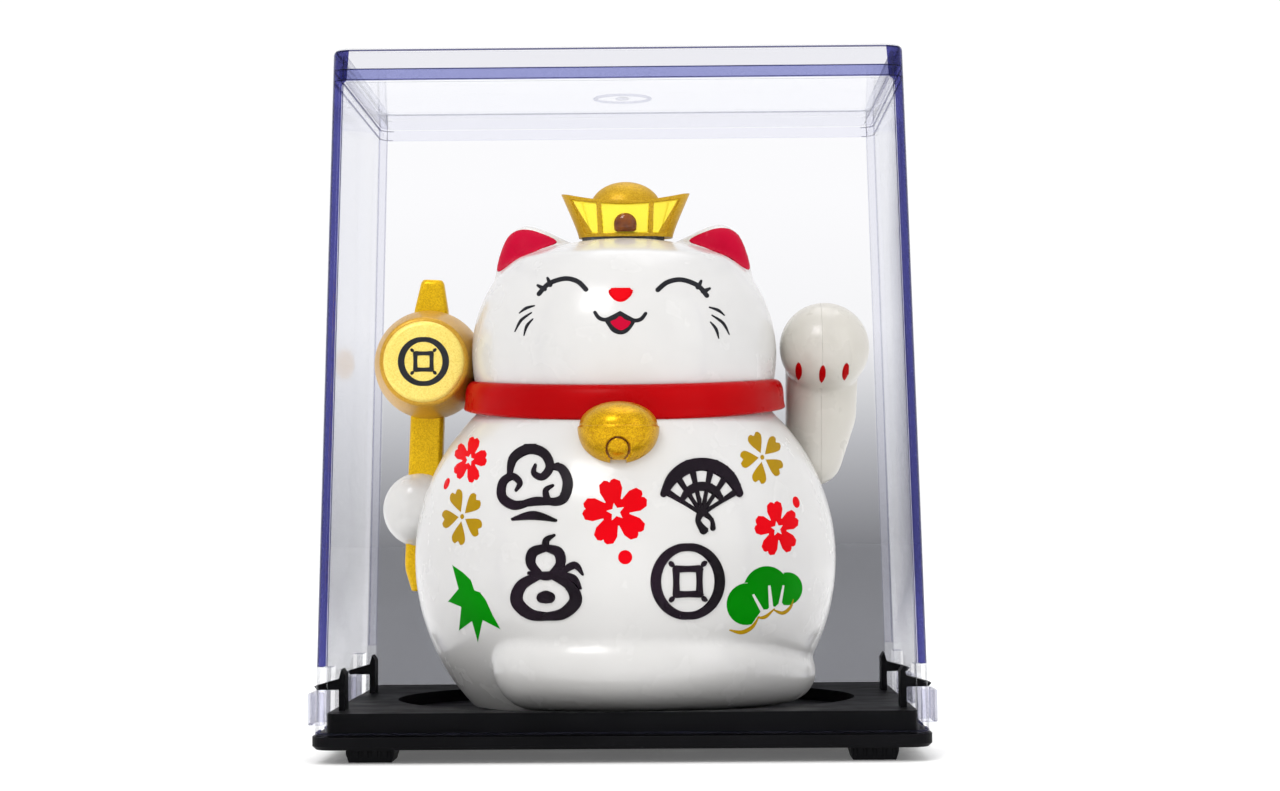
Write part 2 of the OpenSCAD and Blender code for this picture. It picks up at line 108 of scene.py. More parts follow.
def make_object(name, bm, sharp=35.0):
    """Turns a bmesh in millimetres into a smooth-shaded object in metres."""
    bmesh.ops.recalc_face_normals(bm, faces=bm.faces)
    bmesh.ops.scale(bm, vec=(MM, MM, MM), verts=bm.verts)
    mesh = bpy.data.meshes.new(name)
    bm.to_mesh(mesh)
    bm.free()
    obj = bpy.data.objects.new(name, mesh)
    bpy.context.scene.collection.objects.link(obj)
    shade(obj, sharp)
    return obj


def shade(obj, sharp=35.0):
    obj.data.shade_smooth()
    obj.data.set_sharp_from_angle(angle=math.radians(sharp))


def apply_modifiers(obj, sharp=35.0):
    graph = bpy.context.evaluated_depsgraph_get()
    mesh = bpy.data.meshes.new_from_object(obj.evaluated_get(graph))
    old = obj.data
    obj.modifiers.clear()
    obj.data = mesh
    mesh.name = obj.name
    bpy.data.meshes.remove(old)
    shade(obj, sharp)


def rings_to_bmesh(rings, closed_path=False, caps=True):
    """Skins equal closed rings of points; a ring with one point is a pole."""
    bm = bmesh.new()
    made = [[bm.verts.new(p) for p in ring] for ring in rings]
    pairs = list(zip(made, made[1:]))
    if closed_path:
        pairs.append((made[-1], made[0]))
    for a, b in pairs:
        count = max(len(a), len(b))
        for i in range(count):
            j = (i + 1) % count
            if len(a) == 1:
                bm.faces.new((a[0], b[j], b[i]))
            elif len(b) == 1:
                bm.faces.new((a[i], a[j], b[0]))
            else:
                bm.faces.new((a[i], a[j], b[j], b[i]))
    if caps and not closed_path:
        for ring in (made[0], made[-1]):
            if len(ring) > 2:
                bm.faces.new(ring)
    return bm


def lathe(profile, segments=128, closed=False):
    """Turns (radius, height) points about Z."""
    turns = [360 * i / segments for i in range(segments)]
    rings = [[Vector((0, 0, z))] if r < 1e-6 else [Vector((*polar(r, a), z)) for a in turns]
             for r, z in profile]
    return rings_to_bmesh(rings, closed_path=closed)


def polar(r, angle):
    """A point at a distance and an angle in degrees."""
    return r * math.cos(math.radians(angle)), r * math.sin(math.radians(angle))


def arc(cx, cy, r, start, end, count):
    """Points on an arc, angles in degrees."""
    steps = (polar(r, start + (end - start) * i / count) for i in range(count + 1))
    return [(cx + x, cy + y) for x, y in steps]


def ball(centre, radius, segments=64, rings=40):
    profile = [(0, -radius)] + arc(0, 0, radius, -90, 90, rings)[1:-1] + [(0, radius)]
    bm = lathe(profile, segments)
    bmesh.ops.translate(bm, vec=centre, verts=bm.verts)
    return bm


def capsule(a, b, ra, rb, segments=64, steps=40):
    """A tapered rod with round ends from a to b."""
    a, b = Vector(a), Vector(b)
    length = (b - a).length
    tilt = math.degrees(math.asin(max(-1, min(1, (ra - rb) / length))))
    profile = [(0, -ra)] + arc(0, 0, ra, -90, tilt, steps)[1:]
    profile += arc(0, length, rb, tilt, 90, steps)[:-1] + [(0, length + rb)]
    bm = lathe(profile, segments)
    turn = Vector((0, 0, 1)).rotation_difference(b - a).to_matrix().to_4x4()
    bmesh.ops.transform(bm, matrix=Matrix.Translation(a) @ turn, verts=bm.verts)
    return bm


def block(low, high):
    bm = bmesh.new()
    bmesh.ops.create_cube(bm, size=1)
    low, high = Vector(low), Vector(high)
    for v in bm.verts:
        v.co = Vector((low[i] if v.co[i] < 0 else high[i] for i in range(3)))
    return bm


def join(parts):
    """One bmesh from several, which are used up."""
    whole = bmesh.new()
    for part in parts:
        bmesh.ops.recalc_face_normals(part, faces=part.faces)
        mesh = bpy.data.meshes.new("part")
        part.to_mesh(mesh)
        part.free()
        whole.from_mesh(mesh)
        bpy.data.meshes.remove(mesh)
    return whole


def blended(name, parts, voxel, rounds, sharp=60.0):
    """Overlapping closed parts become one skin whose creases are rounded over."""
    whole = join(parts)
    bmesh.ops.scale(whole, vec=(MM, MM, MM), verts=whole.verts)
    mesh = bpy.data.meshes.new(name)
    whole.to_mesh(mesh)
    whole.free()
    obj = bpy.data.objects.new(name, mesh)
    bpy.context.scene.collection.objects.link(obj)
    remesh = obj.modifiers.new("skin", "REMESH")
    remesh.mode = "VOXEL"
    remesh.voxel_size = voxel * MM
    smooth = obj.modifiers.new("round", "SMOOTH")
    smooth.factor = 0.6
    smooth.iterations = rounds
    apply_modifiers(obj, sharp)
    return obj


def boolean(obj, cutter_bm, sharp=35.0):
    """Takes a closed bmesh out of an object."""
    cutter = make_object(obj.name + "_tool", cutter_bm)
    mod = obj.modifiers.new("cut", "BOOLEAN")
    mod.operation = "DIFFERENCE"
    mod.object = cutter
    mod.solver = "EXACT"
    apply_modifiers(obj, sharp)
    bpy.data.objects.remove(cutter, do_unlink=True)


def cut_plane(obj, point, normal, cap, sharp=35.0):
    """Keeps the side of a plane that its normal points away from. Point in millimetres."""
    bm = bmesh.new()
    bm.from_mesh(obj.data)
    result = bmesh.ops.bisect_plane(
        bm, geom=bm.verts[:] + bm.edges[:] + bm.faces[:], plane_co=Vector(point) * MM,
        plane_no=normal, clear_outer=True)
    if cap:
        edges = [g for g in result["geom_cut"] if isinstance(g, bmesh.types.BMEdge)]
        bmesh.ops.edgeloop_fill(bm, edges=edges)
    bm.to_mesh(obj.data)
    bm.free()
    shade(obj, sharp)


def copy_object(obj, name):
    twin = obj.copy()
    twin.data = obj.data.copy()
    twin.name = name
    twin.data.name = name
    bpy.context.scene.collection.objects.link(twin)
    return twin


def bevel(obj, width, segments=3, angle=30.0):
    mod = obj.modifiers.new("edges", "BEVEL")
    mod.width = width * MM
    mod.segments = segments
    mod.limit_method = "ANGLE"
    mod.angle_limit = math.radians(angle)


def piece(obj, body, slot, material, *replaced):
    """Hands a finished piece to the frame; the CAD nodes that it stands in for come last."""
    if material is not None:
        obj.data.materials.clear()
        obj.data.materials.append(material)
    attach(obj, body)
    if replaced:
        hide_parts(*replaced)


# ---------------------------------------------------------------- materials

def add(tree, kind, **values):
    """A new shader node with inputs set by name, where _ stands for a space."""
    node = tree.nodes.new("ShaderNode" + kind)
    for key, value in values.items():
        node.inputs[key.replace("_", " ")].default_value = value
    return node


def shader(name):
    mat = bpy.data.materials.new(name)
    mat.use_nodes = True
    tree = mat.node_tree
    return mat, tree, tree.nodes["Principled BSDF"], add(tree, "TexCoord").outputs["Object"]


def noise_node(tree, coords, scale, detail=2.0):
    node = add(tree, "TexNoise", Scale=scale, Detail=detail)
    tree.links.new(coords, node.inputs["Vector"])
    return node.outputs["Fac"]


def greys(stops):
    return [(place, (value,) * 3) for place, value in stops]


def ramp(tree, source, stops):
    node = add(tree, "ValToRGB")
    band = node.color_ramp
    band.elements[0].position = stops[0][0]
    band.elements[0].color = (*stops[0][1], 1)
    band.elements[1].position = stops[-1][0]
    band.elements[1].color = (*stops[-1][1], 1)
    for place, colour in stops[1:-1]:
        band.elements.new(place).color = (*colour, 1)
    tree.links.new(source, node.inputs["Fac"])
    return node.outputs["Color"]


def spread(tree, source, low, high):
    """Stretches the middle of a noise over a range."""
    node = add(tree, "MapRange", From_Min=0.3, From_Max=0.7, To_Min=low, To_Max=high)
    tree.links.new(source, node.inputs["Value"])
    return node.outputs["Result"]


def bump(tree, bsdf, source, depth):
    """A relief of that depth, in millimetres."""
    node = add(tree, "Bump", Strength=1.0, Distance=depth * MM)
    tree.links.new(source, node.inputs["Height"])
    tree.links.new(node.outputs["Normal"], bsdf.inputs["Normal"])


def set_gloss(bsdf, metallic, specular, coat, coat_rough):
    for key, value in (("Metallic", metallic), ("Specular IOR Level", specular), ("Coat Weight", coat),
                       ("Coat Roughness", coat_rough)):
        bsdf.inputs[key].default_value = value


def plastic(name, dark, light, rough=(0.2, 0.3), peel=0.004, patch=45.0, grain=900.0, coat=0.0,
            metallic=0.0, specular=0.5):
    """Moulded or painted plastic: slow colour drift, uneven gloss and a faint orange peel."""
    mat, tree, bsdf, coords = shader(name)
    tree.links.new(ramp(tree, noise_node(tree, coords, patch, 3), [(0.3, dark), (0.7, light)]),
                   bsdf.inputs["Base Color"])
    tree.links.new(spread(tree, noise_node(tree, coords, patch * 3, 4), *rough), bsdf.inputs["Roughness"])
    bump(tree, bsdf, noise_node(tree, coords, grain, 2), peel)
    set_gloss(bsdf, metallic, specular, coat, 0.08)
    return mat


def metallic_paint(name, dark, mid, light, rough, flake, metallic, coat):
    """Gold paint with visible flakes under a thin clear coat."""
    mat, tree, bsdf, coords = shader(name)
    cells = add(tree, "TexVoronoi", Scale=flake)
    tree.links.new(coords, cells.inputs["Vector"])
    grey = add(tree, "SeparateColor")
    tree.links.new(cells.outputs["Color"], grey.inputs["Color"])
    tree.links.new(ramp(tree, grey.outputs["Red"], [(0.0, dark), (0.45, mid), (1.0, light)]),
                   bsdf.inputs["Base Color"])
    tree.links.new(spread(tree, noise_node(tree, coords, 160, 3), *rough), bsdf.inputs["Roughness"])
    bump(tree, bsdf, grey.outputs["Green"], 0.002)
    set_gloss(bsdf, metallic, 0.2, coat, 0.12)
    return mat


# how much light a wall loses when it is looked at along its length, by how steeply it is seen
STEEP_LOSS = [(0.8, 0.0), (0.935, 0.1), (0.97, 0.7), (1.0, 1.0)]
LONG_WAY_TINT = (0.10, 0.10, 0.2, 1)
# painted shade on the back wall: below this height and back from these depths (m) the clear panel is darkened
SHADE_TOP = 0.13
SHADE_FROM_Y, SHADE_FULL_Y = 0.042, 0.046


def clear_plastic(name, tint, gloss_tint, gloss_rough, shine_stops, painted_shade=None):
    """Thin clear panel: it lets lamps through, tints more and reflects more at a glancing angle.
    The last ramp is painted shade: it darkens the panel towards its foot, on the back wall only."""
    mat = bpy.data.materials.new(name)
    mat.use_nodes = True
    tree = mat.node_tree
    tree.nodes.clear()
    coords = add(tree, "TexCoord").outputs["Object"]
    facing = add(tree, "LayerWeight").outputs["Facing"]
    through = add(tree, "BsdfTransparent", Color=(*tint, 1))
    long_way = add(tree, "BsdfTransparent", Color=LONG_WAY_TINT)
    shine = add(tree, "BsdfGlossy", Color=(*gloss_tint, 1))
    tree.links.new(spread(tree, noise_node(tree, coords, 30, 3), *gloss_rough), shine.inputs["Roughness"])
    # painted shade: the back wall is made darker towards its foot
    if painted_shade:
        place = add(tree, "SeparateXYZ")
        tree.links.new(coords, place.inputs["Vector"])
        height = add(tree, "MapRange", From_Max=SHADE_TOP)
        tree.links.new(place.outputs["Z"], height.inputs["Value"])
        back = add(tree, "MapRange", From_Min=SHADE_FROM_Y, From_Max=SHADE_FULL_Y)
        tree.links.new(place.outputs["Y"], back.inputs["Value"])
        blend = add(tree, "Mix")
        blend.data_type = "RGBA"
        blend.inputs["A"].default_value = (*tint, 1)
        tree.links.new(back.outputs["Result"], blend.inputs["Factor"])
        tree.links.new(ramp(tree, height.outputs["Result"], painted_shade), blend.inputs["B"])
        tree.links.new(blend.outputs["Result"], through.inputs["Color"])
    skin = through
    for stops, other in ((STEEP_LOSS, long_way), (shine_stops, shine)):
        mix = add(tree, "MixShader")
        tree.links.new(ramp(tree, facing, greys(stops)), mix.inputs["Fac"])
        tree.links.new(skin.outputs[0], mix.inputs[1])
        tree.links.new(other.outputs["BSDF"], mix.inputs[2])
        skin = mix
    tree.links.new(skin.outputs["Shader"], add(tree, "OutputMaterial").inputs["Surface"])
    return mat


def ink(name, dark, light, specular=0.05, rough=(0.35, 0.45), peel=0.004):
    """Printed or painted colour with hardly any shine."""
    return plastic(name, dark, light, rough, peel, specular=specular)


def metal(name, dark, light, rough, peel=0.004, grain=900.0):
    return plastic(name, dark, light, rough, peel, grain=grain, metallic=1.0)


TINT_SHINE = [(0.0, 0.01), (0.6, 0.03), (0.9, 0.15), (1.0, 0.5)]


def tinted(name, tint, gloss_tint, gloss_rough=(0.05, 0.12)):
    return clear_plastic(name, tint, gloss_tint, gloss_rough, TINT_SHINE)


WHITE = plastic("white_gloss", (0.605, 0.598, 0.577), (0.655, 0.648, 0.627), (0.2, 0.3), 0.003, coat=0.3)
CREAM = plastic("cream_gloss", (0.52, 0.498, 0.438), (0.575, 0.553, 0.496), (0.24, 0.34), 0.003, coat=0.25)
RED = plastic("collar_red", (0.33, 0.0002, 0.001), (0.43, 0.0004, 0.002), (0.25, 0.36), 0.012, grain=420,
              specular=0.05)
CRIMSON = ink("ear_crimson", (0.43, 0.001, 0.022), (0.54, 0.002, 0.034), rough=(0.4, 0.5), peel=0.008)
PRINT_RED = ink("print_red", (0.62, 0.0004, 0.004), (0.72, 0.001, 0.007), 0.03)
PRINT_OCHRE = ink("print_ochre", (0.33, 0.19, 0.002), (0.42, 0.25, 0.004))
PRINT_GREEN = ink("print_green", (0.0005, 0.17, 0.001), (0.001, 0.25, 0.002), 0.02)
PRINT_BLACK = ink("print_black", (0.003, 0.002, 0.003), (0.014, 0.006, 0.014), 0.1, (0.3, 0.4), 0.006)
LINE_BLACK = ink("line_black", (0.008, 0.008, 0.011), (0.018, 0.018, 0.022), 0.1, peel=0.003)
INK_GREY = ink("ink_grey", (0.014, 0.015, 0.018), (0.03, 0.032, 0.036), rough=(0.5, 0.6))
GOLD = metallic_paint("gold_paint", (0.56, 0.31, 0.001), (0.68, 0.41, 0.003), (0.82, 0.52, 0.008),
                      (0.3, 0.4), 5200.0, 0.55, 0.05)
# a darker copy of the gold paint for the bell: painted shade, standing in for dark surroundings reflected in
# it
BELL_GOLD_SHADED = metallic_paint("bell_gold_painted_shade", (0.44, 0.21, 0.001), (0.56, 0.30, 0.001), (0.72, 0.43, 0.004),
                           (0.26, 0.36), 5200.0, 0.65, 0.05)
GOLD_SATIN = metallic_paint("gold_satin", (0.46, 0.24, 0.02), (0.55, 0.30, 0.03), (0.64, 0.37, 0.045),
                            (0.36, 0.46), 6000.0, 0.6, 0.15)
GOLD_BRIGHT = metallic_paint("gold_bright", (0.80, 0.60, 0.10), (0.90, 0.70, 0.15), (0.98, 0.80, 0.22),
                             (0.3, 0.4), 6000.0, 0.3, 0.2)
GOLD_MATT = metallic_paint("gold_matt", (0.42, 0.23, 0.004), (0.52, 0.30, 0.008), (0.62, 0.38, 0.02),
                           (0.4, 0.52), 6000.0, 0.5, 0.1)
# the ingot's polished panels: a glossier finish, and a colour far brighter than the matt gold, which is
# painted highlight for the light they reflect
YELLOW_LIT = plastic("ingot_yellow", (0.88, 0.66, 0.002), (1.0, 0.84, 0.004), (0.08, 0.16), 0.006, coat=0.8,
                 metallic=0.35)
# dark brown for the bell's groove: painted shade in the groove
GROOVE_SHADE = plastic("groove_painted_shade", (0.13, 0.035, 0.002), (0.2, 0.06, 0.004), (0.4, 0.5), 0.004)
GEM = plastic("gem_brown", (0.09, 0.018, 0.002), (0.28, 0.075, 0.006), (0.06, 0.14), 0.01, patch=400,
              coat=0.4, specular=0.2)
BLACK = ink("base_black", (0.003, 0.003, 0.0035), (0.006, 0.006, 0.007), 0.03, (0.36, 0.5), 0.006)
FOOT = ink("foot_black", (0.004, 0.004, 0.005), (0.012, 0.012, 0.014), 0.1, (0.5, 0.65), 0.02)
PAD = plastic("pad_grey", (0.04, 0.04, 0.045), (0.07, 0.07, 0.075), (0.6, 0.75), 0.02)
CELL = plastic("cell_blue", (0.006, 0.008, 0.03), (0.02, 0.025, 0.075), (0.1, 0.18), 0.002, patch=260,
               coat=0.8)
BOARD = plastic("board_green", (0.012, 0.11, 0.035), (0.02, 0.16, 0.055), (0.35, 0.5), 0.01)
CAN = plastic("can_blue", (0.02, 0.03, 0.14), (0.03, 0.045, 0.2), (0.25, 0.35), 0.004)
NATURAL = plastic("frame_white", (0.62, 0.61, 0.57), (0.72, 0.71, 0.67), (0.4, 0.5), 0.006)
COPPER = metal("copper", (0.44, 0.12, 0.03), (0.62, 0.22, 0.06), (0.22, 0.34), 0.02, 1800)
BRASS = metal("brass", (0.56, 0.36, 0.10), (0.68, 0.46, 0.16), (0.25, 0.36), 0.006)
STEEL = metal("steel", (0.46, 0.47, 0.49), (0.62, 0.63, 0.65), (0.22, 0.36))
MAGNET = metal("magnet", (0.32, 0.33, 0.35), (0.42, 0.43, 0.45), (0.16, 0.26), 0.003)
CLEAR = clear_plastic("hood_clear", (0.988, 0.988, 0.992), (0.96, 0.97, 1.0), (0.02, 0.06),
                      [(0.0, 0.0), (0.4, 0.0), (0.6, 0.015), (0.82, 0.15), (0.9, 0.38), (0.96, 0.32),
                       (1.0, 0.08)],
                      # painted shade for the back wall: darkest at its foot, nearly clear at the top
                      [(0.0, (0.40, 0.403, 0.42)), (0.3, (0.45, 0.453, 0.47)), (0.5, (0.72, 0.724, 0.74)),
                       (0.68, (0.96, 0.96, 0.965)), (0.9, (0.985, 0.985, 0.99))])
VIOLET = tinted("hood_violet", (0.57, 0.585, 0.79), (0.7, 0.7, 1.0))
VIOLET_DEEP = tinted("hood_violet_deep", (0.28, 0.28, 0.56), (0.6, 0.6, 1.0))
VIOLET_FAINT = tinted("hood_violet_faint", (0.93, 0.93, 0.965), (0.9, 0.9, 1.0))
RIM_GREY = tinted("hood_rim_grey", (0.92, 0.92, 0.94), (0.9, 0.9, 1.0))
EDGE_LINE = tinted("hood_edge_line", (0.42, 0.42, 0.54), (0.6, 0.6, 0.8), (0.1, 0.2))
EDGE_SOFT = tinted("hood_edge_soft", (0.78, 0.78, 0.84), (0.6, 0.6, 0.8), (0.1, 0.2))
FROST = clear_plastic("hood_frost", (0.88, 0.88, 0.93), (1.0, 1.0, 1.0), (0.12, 0.2),
                      [(0.0, 0.08), (0.6, 0.16), (1.0, 0.7)])

KEPT = {
    "case_base": BLACK, "case_feet": FOOT, "figure_screws": STEEL, "bottom_cover": WHITE, "hat_pad": PAD,
    "solar_cell": CELL, "circuit_board": BOARD, "storage_capacitor": CAN, "drive_frame": NATURAL,
    "frame_screws": STEEL, "drive_coil": COPPER, "axle_bushes": BRASS, "arm_axle": STEEL,
    "pendulum_lever": NATURAL, "pendulum_magnet": MAGNET,
}
for node_name, node_material in KEPT.items():
    nodes[node_name].data.materials.clear()
    nodes[node_name].data.materials.append(node_material)
bevel(nodes["case_base"], 0.25, 2, 40)
bevel(nodes["case_feet"], 0.15, 2, 50)


# ---------------------------------------------------------------- moulded shells

def body_profile():
    """Half outline of the body, from its foot to the neck."""
    low = math.degrees(math.asin((BODY_Z0 - 2 - BODY_MID) / BODY_R))
    points = [(0, BODY_Z0 - 2)] + arc(0, BODY_MID, BODY_R, low, 0, 60)
    neck_z = COLLAR_Z0 + 4
    top = math.degrees(math.asin((neck_z - BODY_MID) / SHOULDER_R))
    points += arc(BODY_R - SHOULDER_R, BODY_MID, SHOULDER_R, 0, top, 50)[1:]
    return points + [(0, neck_z)]


def head_profile():
    """Half outline of the head: a side curve under a flatter crown."""
    side_x = HEAD_R - HEAD_SIDE_R
    crown_mid = HEAD_TOP - CROWN_R
    points = [(0, COLLAR_Z0)]
    for i in range(121):
        a = math.radians(-30 + i)
        r = side_x + HEAD_SIDE_R * math.cos(a)
        z = HEAD_MID + HEAD_SIDE_R * math.sin(a)
        if math.hypot(r, z - crown_mid) <= CROWN_R and r > 0:
            points.append((r, z))
    r, z = points[-1]
    start = math.degrees(math.atan2(z - crown_mid, r))
    crown = arc(0, crown_mid, CROWN_R, start, 90, 40)[1:]
    return points + crown[:-1] + [(0, HEAD_TOP)]


EAR_OUTLINE = [(-28.2, 88), (-27.2, 93), (-26.4, 97.5), (-25.4, 101.5), (-23.6, 105), (-20.6, 106.9),
               (-17, 106.2), (-13.6, 104.6), (-9.5, 102.6), (-6, 100), (-9, 90), (-18, 84)]
EAR_MIDDLE = Vector((-18.5, 96))
EAR_HALF_T = 6.4


def catmull(points, per_span, closed):
    """A smooth curve through points of any dimension."""
    points = [Vector(p) for p in points]
    count = len(points)
    made = []
    for i in range(count if closed else count - 1):
        if closed:
            p = [points[(i + k) % count] for k in (-1, 0, 1, 2)]
        else:
            p = [points[max(0, min(count - 1, i + k))] for k in (-1, 0, 1, 2)]
        for j in range(per_span):
            t = j / per_span
            made.append(0.5 * (2 * p[1] + (p[2] - p[0]) * t + (2 * p[0] - 5 * p[1] + 4 * p[2] - p[3]) * t * t
                               + (3 * p[1] - p[0] - 3 * p[2] + p[3]) * t ** 3))
    if not closed:
        made.append(points[-1])
    return made


def ear(side):
    """A rounded slab in the shape of the ear's outline."""
    outline = catmull(EAR_OUTLINE, 6, True)
    rings = []
    for i in range(17):
        t = -1 + 2 * i / 16
        size = max(0.05, (1 - abs(t) ** 2.6) ** (1 / 2.6))
        rings.append([
            Vector((-side * (EAR_MIDDLE.x + (p.x - EAR_MIDDLE.x) * size), EAR_HALF_T * t + 0.5,
                    EAR_MIDDLE.y + (p.y - EAR_MIDDLE.y) * size))
            for p in outline
        ])
    return rings_to_bmesh(rings)


TAIL_R = 33.0


def tail():
    """Curls round the foot of the body: thick and blunt at the front left, thinner towards its root."""
    start, end, steps = -121.0, 50.0, 72
    rings = []
    for i in range(-10, steps + 11):
        t = min(1.0, max(0.0, i / steps))
        thick = 8.8 - 2.8 * smoothstep(0.3, 0.65, t)
        a = math.radians(start + (end - start) * t)
        over = 0.0
        shrink = 1.0
        if i < 0 or i > steps:
            over = (abs(i) if i < 0 else i - steps) / 10 * 0.999
            shrink = math.sqrt(1 - over * over)
        centre = Vector((TAIL_R * math.cos(a), TAIL_R * math.sin(a), 8.6 + thick))
        along = Vector((-math.sin(a), math.cos(a), 0))
        out = Vector((math.cos(a), math.sin(a), 0))
        centre += along * (over * thick * (-1 if i < 0 else 1))
        rings.append([
            centre + (out * math.cos(b) + Vector((0, 0, 1)) * math.sin(b)) * thick * shrink
            for b in (2 * math.pi * k / 40 for k in range(40))
        ])
    return rings_to_bmesh(rings)


def across_x(profile, x0, x1):
    """A bar along X round the arm's pivot, from its outline in Y and Z."""
    return rings_to_bmesh([[Vector((x, PIVOT.y + y, PIVOT.z + z)) for y, z in profile] for x in (x0, x1)])


def arm_pocket():
    """The cut in the shoulder that the arm turns in: round below, open above."""
    profile = arc(0, 0, POCKET_R, 180, 360, 30)
    profile += [(POCKET_HALF_Y, 0), (POCKET_HALF_Y, 7), (-POCKET_HALF_Y, 7), (-POCKET_HALF_Y, 0)]
    return across_x(profile, POCKET_X, POCKET_X + 30)


def axle_hole():
    """The axle's way out of the shell, through the flat wall of the arm's pocket."""
    return across_x(arc(0, 0, AXLE_HOLE_R, 0, 345, 23), POCKET_X - 3, POCKET_X + 2)


def cell_pocket():
    """The recess in the back that holds the solar cell, square to the sloping back."""
    low, high = node_box("solar_cell")
    bm = block((low.x - 0.1, -8, -8.2), (high.x + 0.1, 20, 8.0))
    place = Matrix.Translation((0, 46.5, 48)) @ Matrix.Rotation(math.radians(15), 4, "X")
    bmesh.ops.transform(bm, matrix=place, verts=bm.verts)
    return bm


def shells():
    """Body, head, ears and tail as one closed skin, with the arm's pocket cut."""
    parts = [lathe(body_profile(), 160), lathe(head_profile(), 160), ear(-1), ear(1), tail()]
    whole = blended("shell_whole", parts, 0.6, 9)
    boolean(whole, arm_pocket(), sharp=40)
    return whole


def cast_skin(obj):
    """A search tree of an object's surface, in millimetres."""
    bm = bmesh.new()
    bm.from_mesh(obj.data)
    bmesh.ops.scale(bm, vec=(1 / MM,) * 3, verts=bm.verts)
    bmesh.ops.triangulate(bm, faces=bm.faces)
    tree = BVHTree.FromBMesh(bm)
    bm.free()
    return tree


def split_shells(whole):
    """Halves the skin at the mould seam and gives each half its wall."""
    cut_plane(whole, (0, 0, BODY_Z0), (0, 0, -1), False)
    for name, side, node in (("shell_front", -1, "front_shell"), ("shell_rear", 1, "rear_shell")):
        half = copy_object(whole, name)
        cut_plane(half, (0, side * 0.02, 0), (0, -side, 0), False, 40)
        wall = half.modifiers.new("wall", "SOLIDIFY")
        wall.thickness = SHELL_WALL * MM
        wall.offset = -1
        wall.use_rim = True
        apply_modifiers(half, 40)
        if side > 0:
            boolean(half, axle_hole(), sharp=40)
        piece(half, "case", "body_white", WHITE, node)
    bpy.data.objects.remove(whole, do_unlink=True)


# ---------------------------------------------------------------- painted and raised marks

def stroke(points, widths):
    """Outline of a brush stroke along a smooth curve with round ends; widths follow the points."""
    line = catmull([(*p, w) for p, w in zip(points, widths)], 8, False)
    left, right = [], []
    for i, p in enumerate(line):
        way = (line[min(len(line) - 1, i + 1)] - line[max(0, i - 1)]).xy.normalized()
        side = Vector((-way.y, way.x)) * p.z / 2
        left.append(p.xy + side)
        right.append(p.xy - side)

    def cap(p, behind):
        base = math.degrees(math.atan2(p.y - behind.y, p.x - behind.x))
        return arc(p.x, p.y, p.z / 2, base + 90, base - 90, 6)[1:-1]

    return left + cap(line[-1], line[-2]) + right[::-1] + cap(line[0], line[1])


# pads are laid on the skin from in front of it, along this way
CAST_Y = -90.0
CAST_WAY = Vector((0, 1, 0))


def cut_grid(bm, grid):
    """Splits flat faces in XZ along a grid, so that they can bend with the skin."""
    for axis, normal in ((0, Vector((1, 0, 0))), (2, Vector((0, 0, 1)))):
        places = [v.co[axis] for v in bm.verts]
        step, high = min(places) + grid, max(places)
        while step < high:
            bmesh.ops.bisect_plane(bm, geom=bm.verts[:] + bm.edges[:] + bm.faces[:],
                                   plane_co=normal * step, plane_no=normal)
            step += grid


def pad_bmesh(loops, skin, lift, edge, grid=1.0):
    """A thin pad over the skin, with a sloped edge. loops are closed outlines in X and Z, the first one of
    each group outside and the rest holes in it."""
    flat = []
    for group in loops:
        part = bmesh.new()
        for loop in group:
            verts = [part.verts.new((p[0], 0, p[1])) for p in loop]
            for a, b in zip(verts, verts[1:] + verts[:1]):
                part.edges.new((a, b))
        bmesh.ops.triangle_fill(part, use_beauty=True, use_dissolve=False, edges=part.edges[:],
                                normal=(0, -1, 0))
        cut_grid(part, grid)
        flat.append(part)
    bm = join(flat)
    bmesh.ops.recalc_face_normals(bm, faces=bm.faces)
    bmesh.ops.inset_region(bm, faces=bm.faces[:], thickness=edge, use_boundary=True, use_even_offset=False)
    outer = {v for e in bm.edges if len(e.link_faces) == 1 for v in e.verts}
    for v in bm.verts:
        hit, normal = skin.ray_cast(Vector((v.co.x, CAST_Y, v.co.z)), CAST_WAY)[:2]
        if hit is None:
            hit, normal = skin.find_nearest(Vector((v.co.x, CAST_Y / 3, v.co.z)))[:2]
        if normal.dot(CAST_WAY) > 0:
            normal = -normal
        v.co = hit + normal * (-0.08 if v in outer else lift)
    return bm


def mark(name, loops, skin, material, slot, lift=0.05, edge=0.06, body="case", grid=1.0):
    obj = make_object(name, pad_bmesh(loops, skin, lift, edge, grid=grid), 50)
    piece(obj, body, slot, material)


def placed(loop, x, z, size=1.0, turn=0.0, squeeze=1.0):
    """A loop turned by degrees, sized, narrowed and moved."""
    c, s = math.cos(math.radians(turn)), math.sin(math.radians(turn))
    return [Vector((x + squeeze * size * (p[0] * c - p[1] * s), z + size * (p[0] * s + p[1] * c)))
            for p in loop]


def petal():
    """A petal that points up, with its tip at height 1 and a notch in it."""
    notch = 0.12
    right = [(0, 0.16), (0.12, 0.34), (0.27, 0.6), (0.33, 0.8), (0.26, 0.95), (0.13, 1.0)]
    curve = catmull(right, 5, False)
    return curve + [Vector((0, 1 - notch))] + [Vector((-p.x, p.y)) for p in reversed(curve[1:])]


def joined_flower():
    """Five broad notched petals grown together, one outline."""
    half = [(34, 0.42), (28, 0.74), (20, 0.94), (9, 1.0), (3, 0.96)]
    whole = [(-a, r) for a, r in half] + [(0, 0.90)] + half[::-1]
    return [Vector(polar(r, 90 + 72 * k + a)) for k in range(5) for a, r in whole]


def star(inner, outer):
    return [Vector(polar(outer if k % 2 else inner, 90 + 36 * k)) for k in range(10)]


def disc(r=1.0, count=28, stretch=1.0):
    return [Vector((x, stretch * z)) for x, z in (polar(r, 360 * k / count) for k in range(count))]


